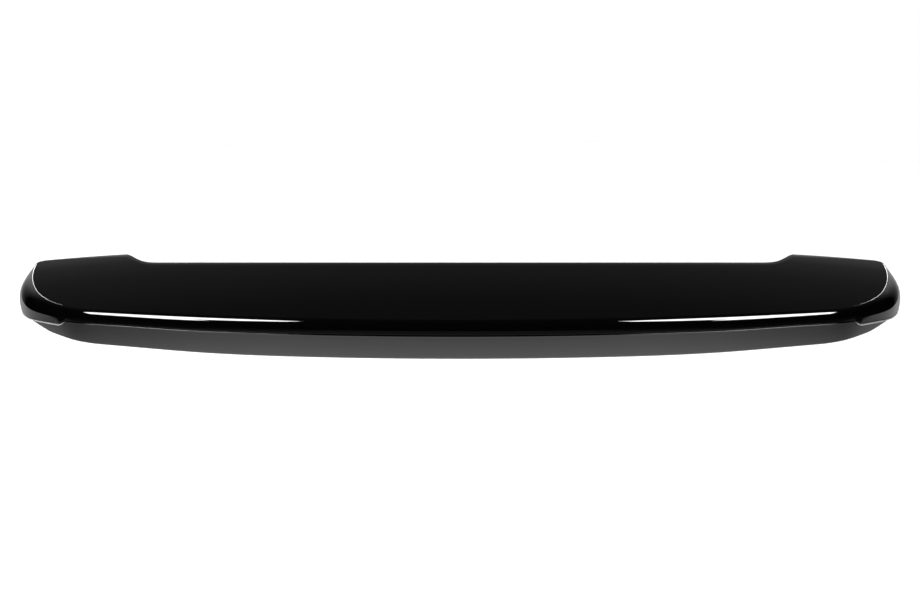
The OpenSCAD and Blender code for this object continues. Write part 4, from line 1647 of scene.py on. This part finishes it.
def pale_floor(studio):
    """Pale floor that keeps a shadow; in the gloss it is an emission of painted shade that fades outwards
    and darkens towards the rear; clear when seen from below
    """
    material, g = finish("pale floor")
    place = own_place(g)
    aside = g.maths("ABSOLUTE", place.part("X"))
    across = g.graded(aside / FLOOR_RADIUS, FLOOR_STOPS)
    rear = place.part("Y").ramped(-0.55, -0.12, 0.12, 1.0)
    rear_side = place.part("Y").ramped(-0.35, 0.05, 0.04, 1.0)
    rear = rear + (rear_side - rear) * aside.ramped(0.7, 1.0)
    matt = g.node("ShaderNodeBsdfDiffuse", {}, {"Color": (*studio.floor_colour, 1.0)})
    lift = g.node("ShaderNodeEmission", {}, {"Color": (1.0, 1.0, 1.0, 1.0), "Strength": 0.3})
    seen = g.node("ShaderNodeAddShader", {}, (matt, lift))
    gloss = g.node("ShaderNodeEmission", {}, {"Color": across, "Strength": rear})
    top = g.node("ShaderNodeMixShader", {}, (ray(g, "Is Glossy Ray"), seen, gloss))
    clear = g.node("ShaderNodeBsdfTransparent")
    below = g.node("ShaderNodeNewGeometry", {}, {}, "Backfacing")
    g.node("ShaderNodeOutputMaterial", {}, (g.node("ShaderNodeMixShader", {}, (below, top, clear)),))
    return material


def tent_cloth():
    """Black cloth round the set, with a backdrop in front whose glow is painted light, brightest low down
    and fading upwards and aside
    """
    material, g = finish("tent cloth")
    way = own_place(g).unit()
    aside = g.maths("ABSOLUTE", way.part("X"))
    rising = g.graded(way.part("Z") * aside.ramped(0.28, 0.42, 1.0, 0.62), RISING_STOPS)
    fading = g.graded(aside, ASIDE_STOPS)
    ahead = way.part("Y").ramped(0.0, 0.3)
    glow = g.node("ShaderNodeEmission", {}, {"Color": rising * fading, "Strength": ahead})
    g.node("ShaderNodeOutputMaterial", {}, (glow,))
    return material


def glowing(name, strength):
    material, g = finish(name)
    lit = g.node("ShaderNodeEmission", {}, {"Color": (1.0, 1.0, 1.0, 1.0), "Strength": strength})
    g.node("ShaderNodeOutputMaterial", {}, (lit,))
    return material


class SpoilerPanelList(bpy.types.Panel):
    """Lists the spoiler's pieces and sizes in the sidebar"""
    bl_idname = "VIEW3D_PT_spoiler"
    bl_label = "Spoiler"
    bl_space_type = "VIEW_3D"
    bl_region_type = "UI"
    bl_category = "Spoiler"

    def draw(self, context):
        for step in STEPS:
            self.layout.operator(step.bl_idname)
        sizes = context.scene.spoiler
        groups = (sizes.plan, sizes.panel, sizes.nose, sizes.lower, sizes.fixings, sizes.seals,
                  sizes.finish, sizes.studio)
        for group in groups:
            box = self.layout.box()
            for name in group.bl_rna.properties.keys():
                if name not in {"name", "rna_type"}:
                    box.prop(group, name)


GROUPS = (SpoilerPlan, SpoilerPanel, SpoilerNose, SpoilerLower, SpoilerFixings, SpoilerSeals, SpoilerFinish,
          SpoilerStudio, SpoilerSizes)
STEPS = (SpoilerUpperMoulding, SpoilerLowerMoulding, SpoilerBosses, SpoilerPins, SpoilerInserts,
         SpoilerGaskets, SpoilerTapes, SpoilerRearSeal, SpoilerStudioStage)


def register():
    for kind in (*GROUPS, *STEPS, SpoilerPanelList):
        bpy.utils.register_class(kind)
    bpy.types.Scene.spoiler = group_of(SpoilerSizes, "Spoiler", "All sizes")


def unregister():
    del bpy.types.Scene.spoiler
    for kind in reversed((*GROUPS, *STEPS, SpoilerPanelList)):
        bpy.utils.unregister_class(kind)


def main():
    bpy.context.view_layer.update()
    register()
    for step in STEPS:
        group, name = step.bl_idname.split(".")
        getattr(getattr(bpy.ops, group), name)()


if __name__ == "__main__":
    main()
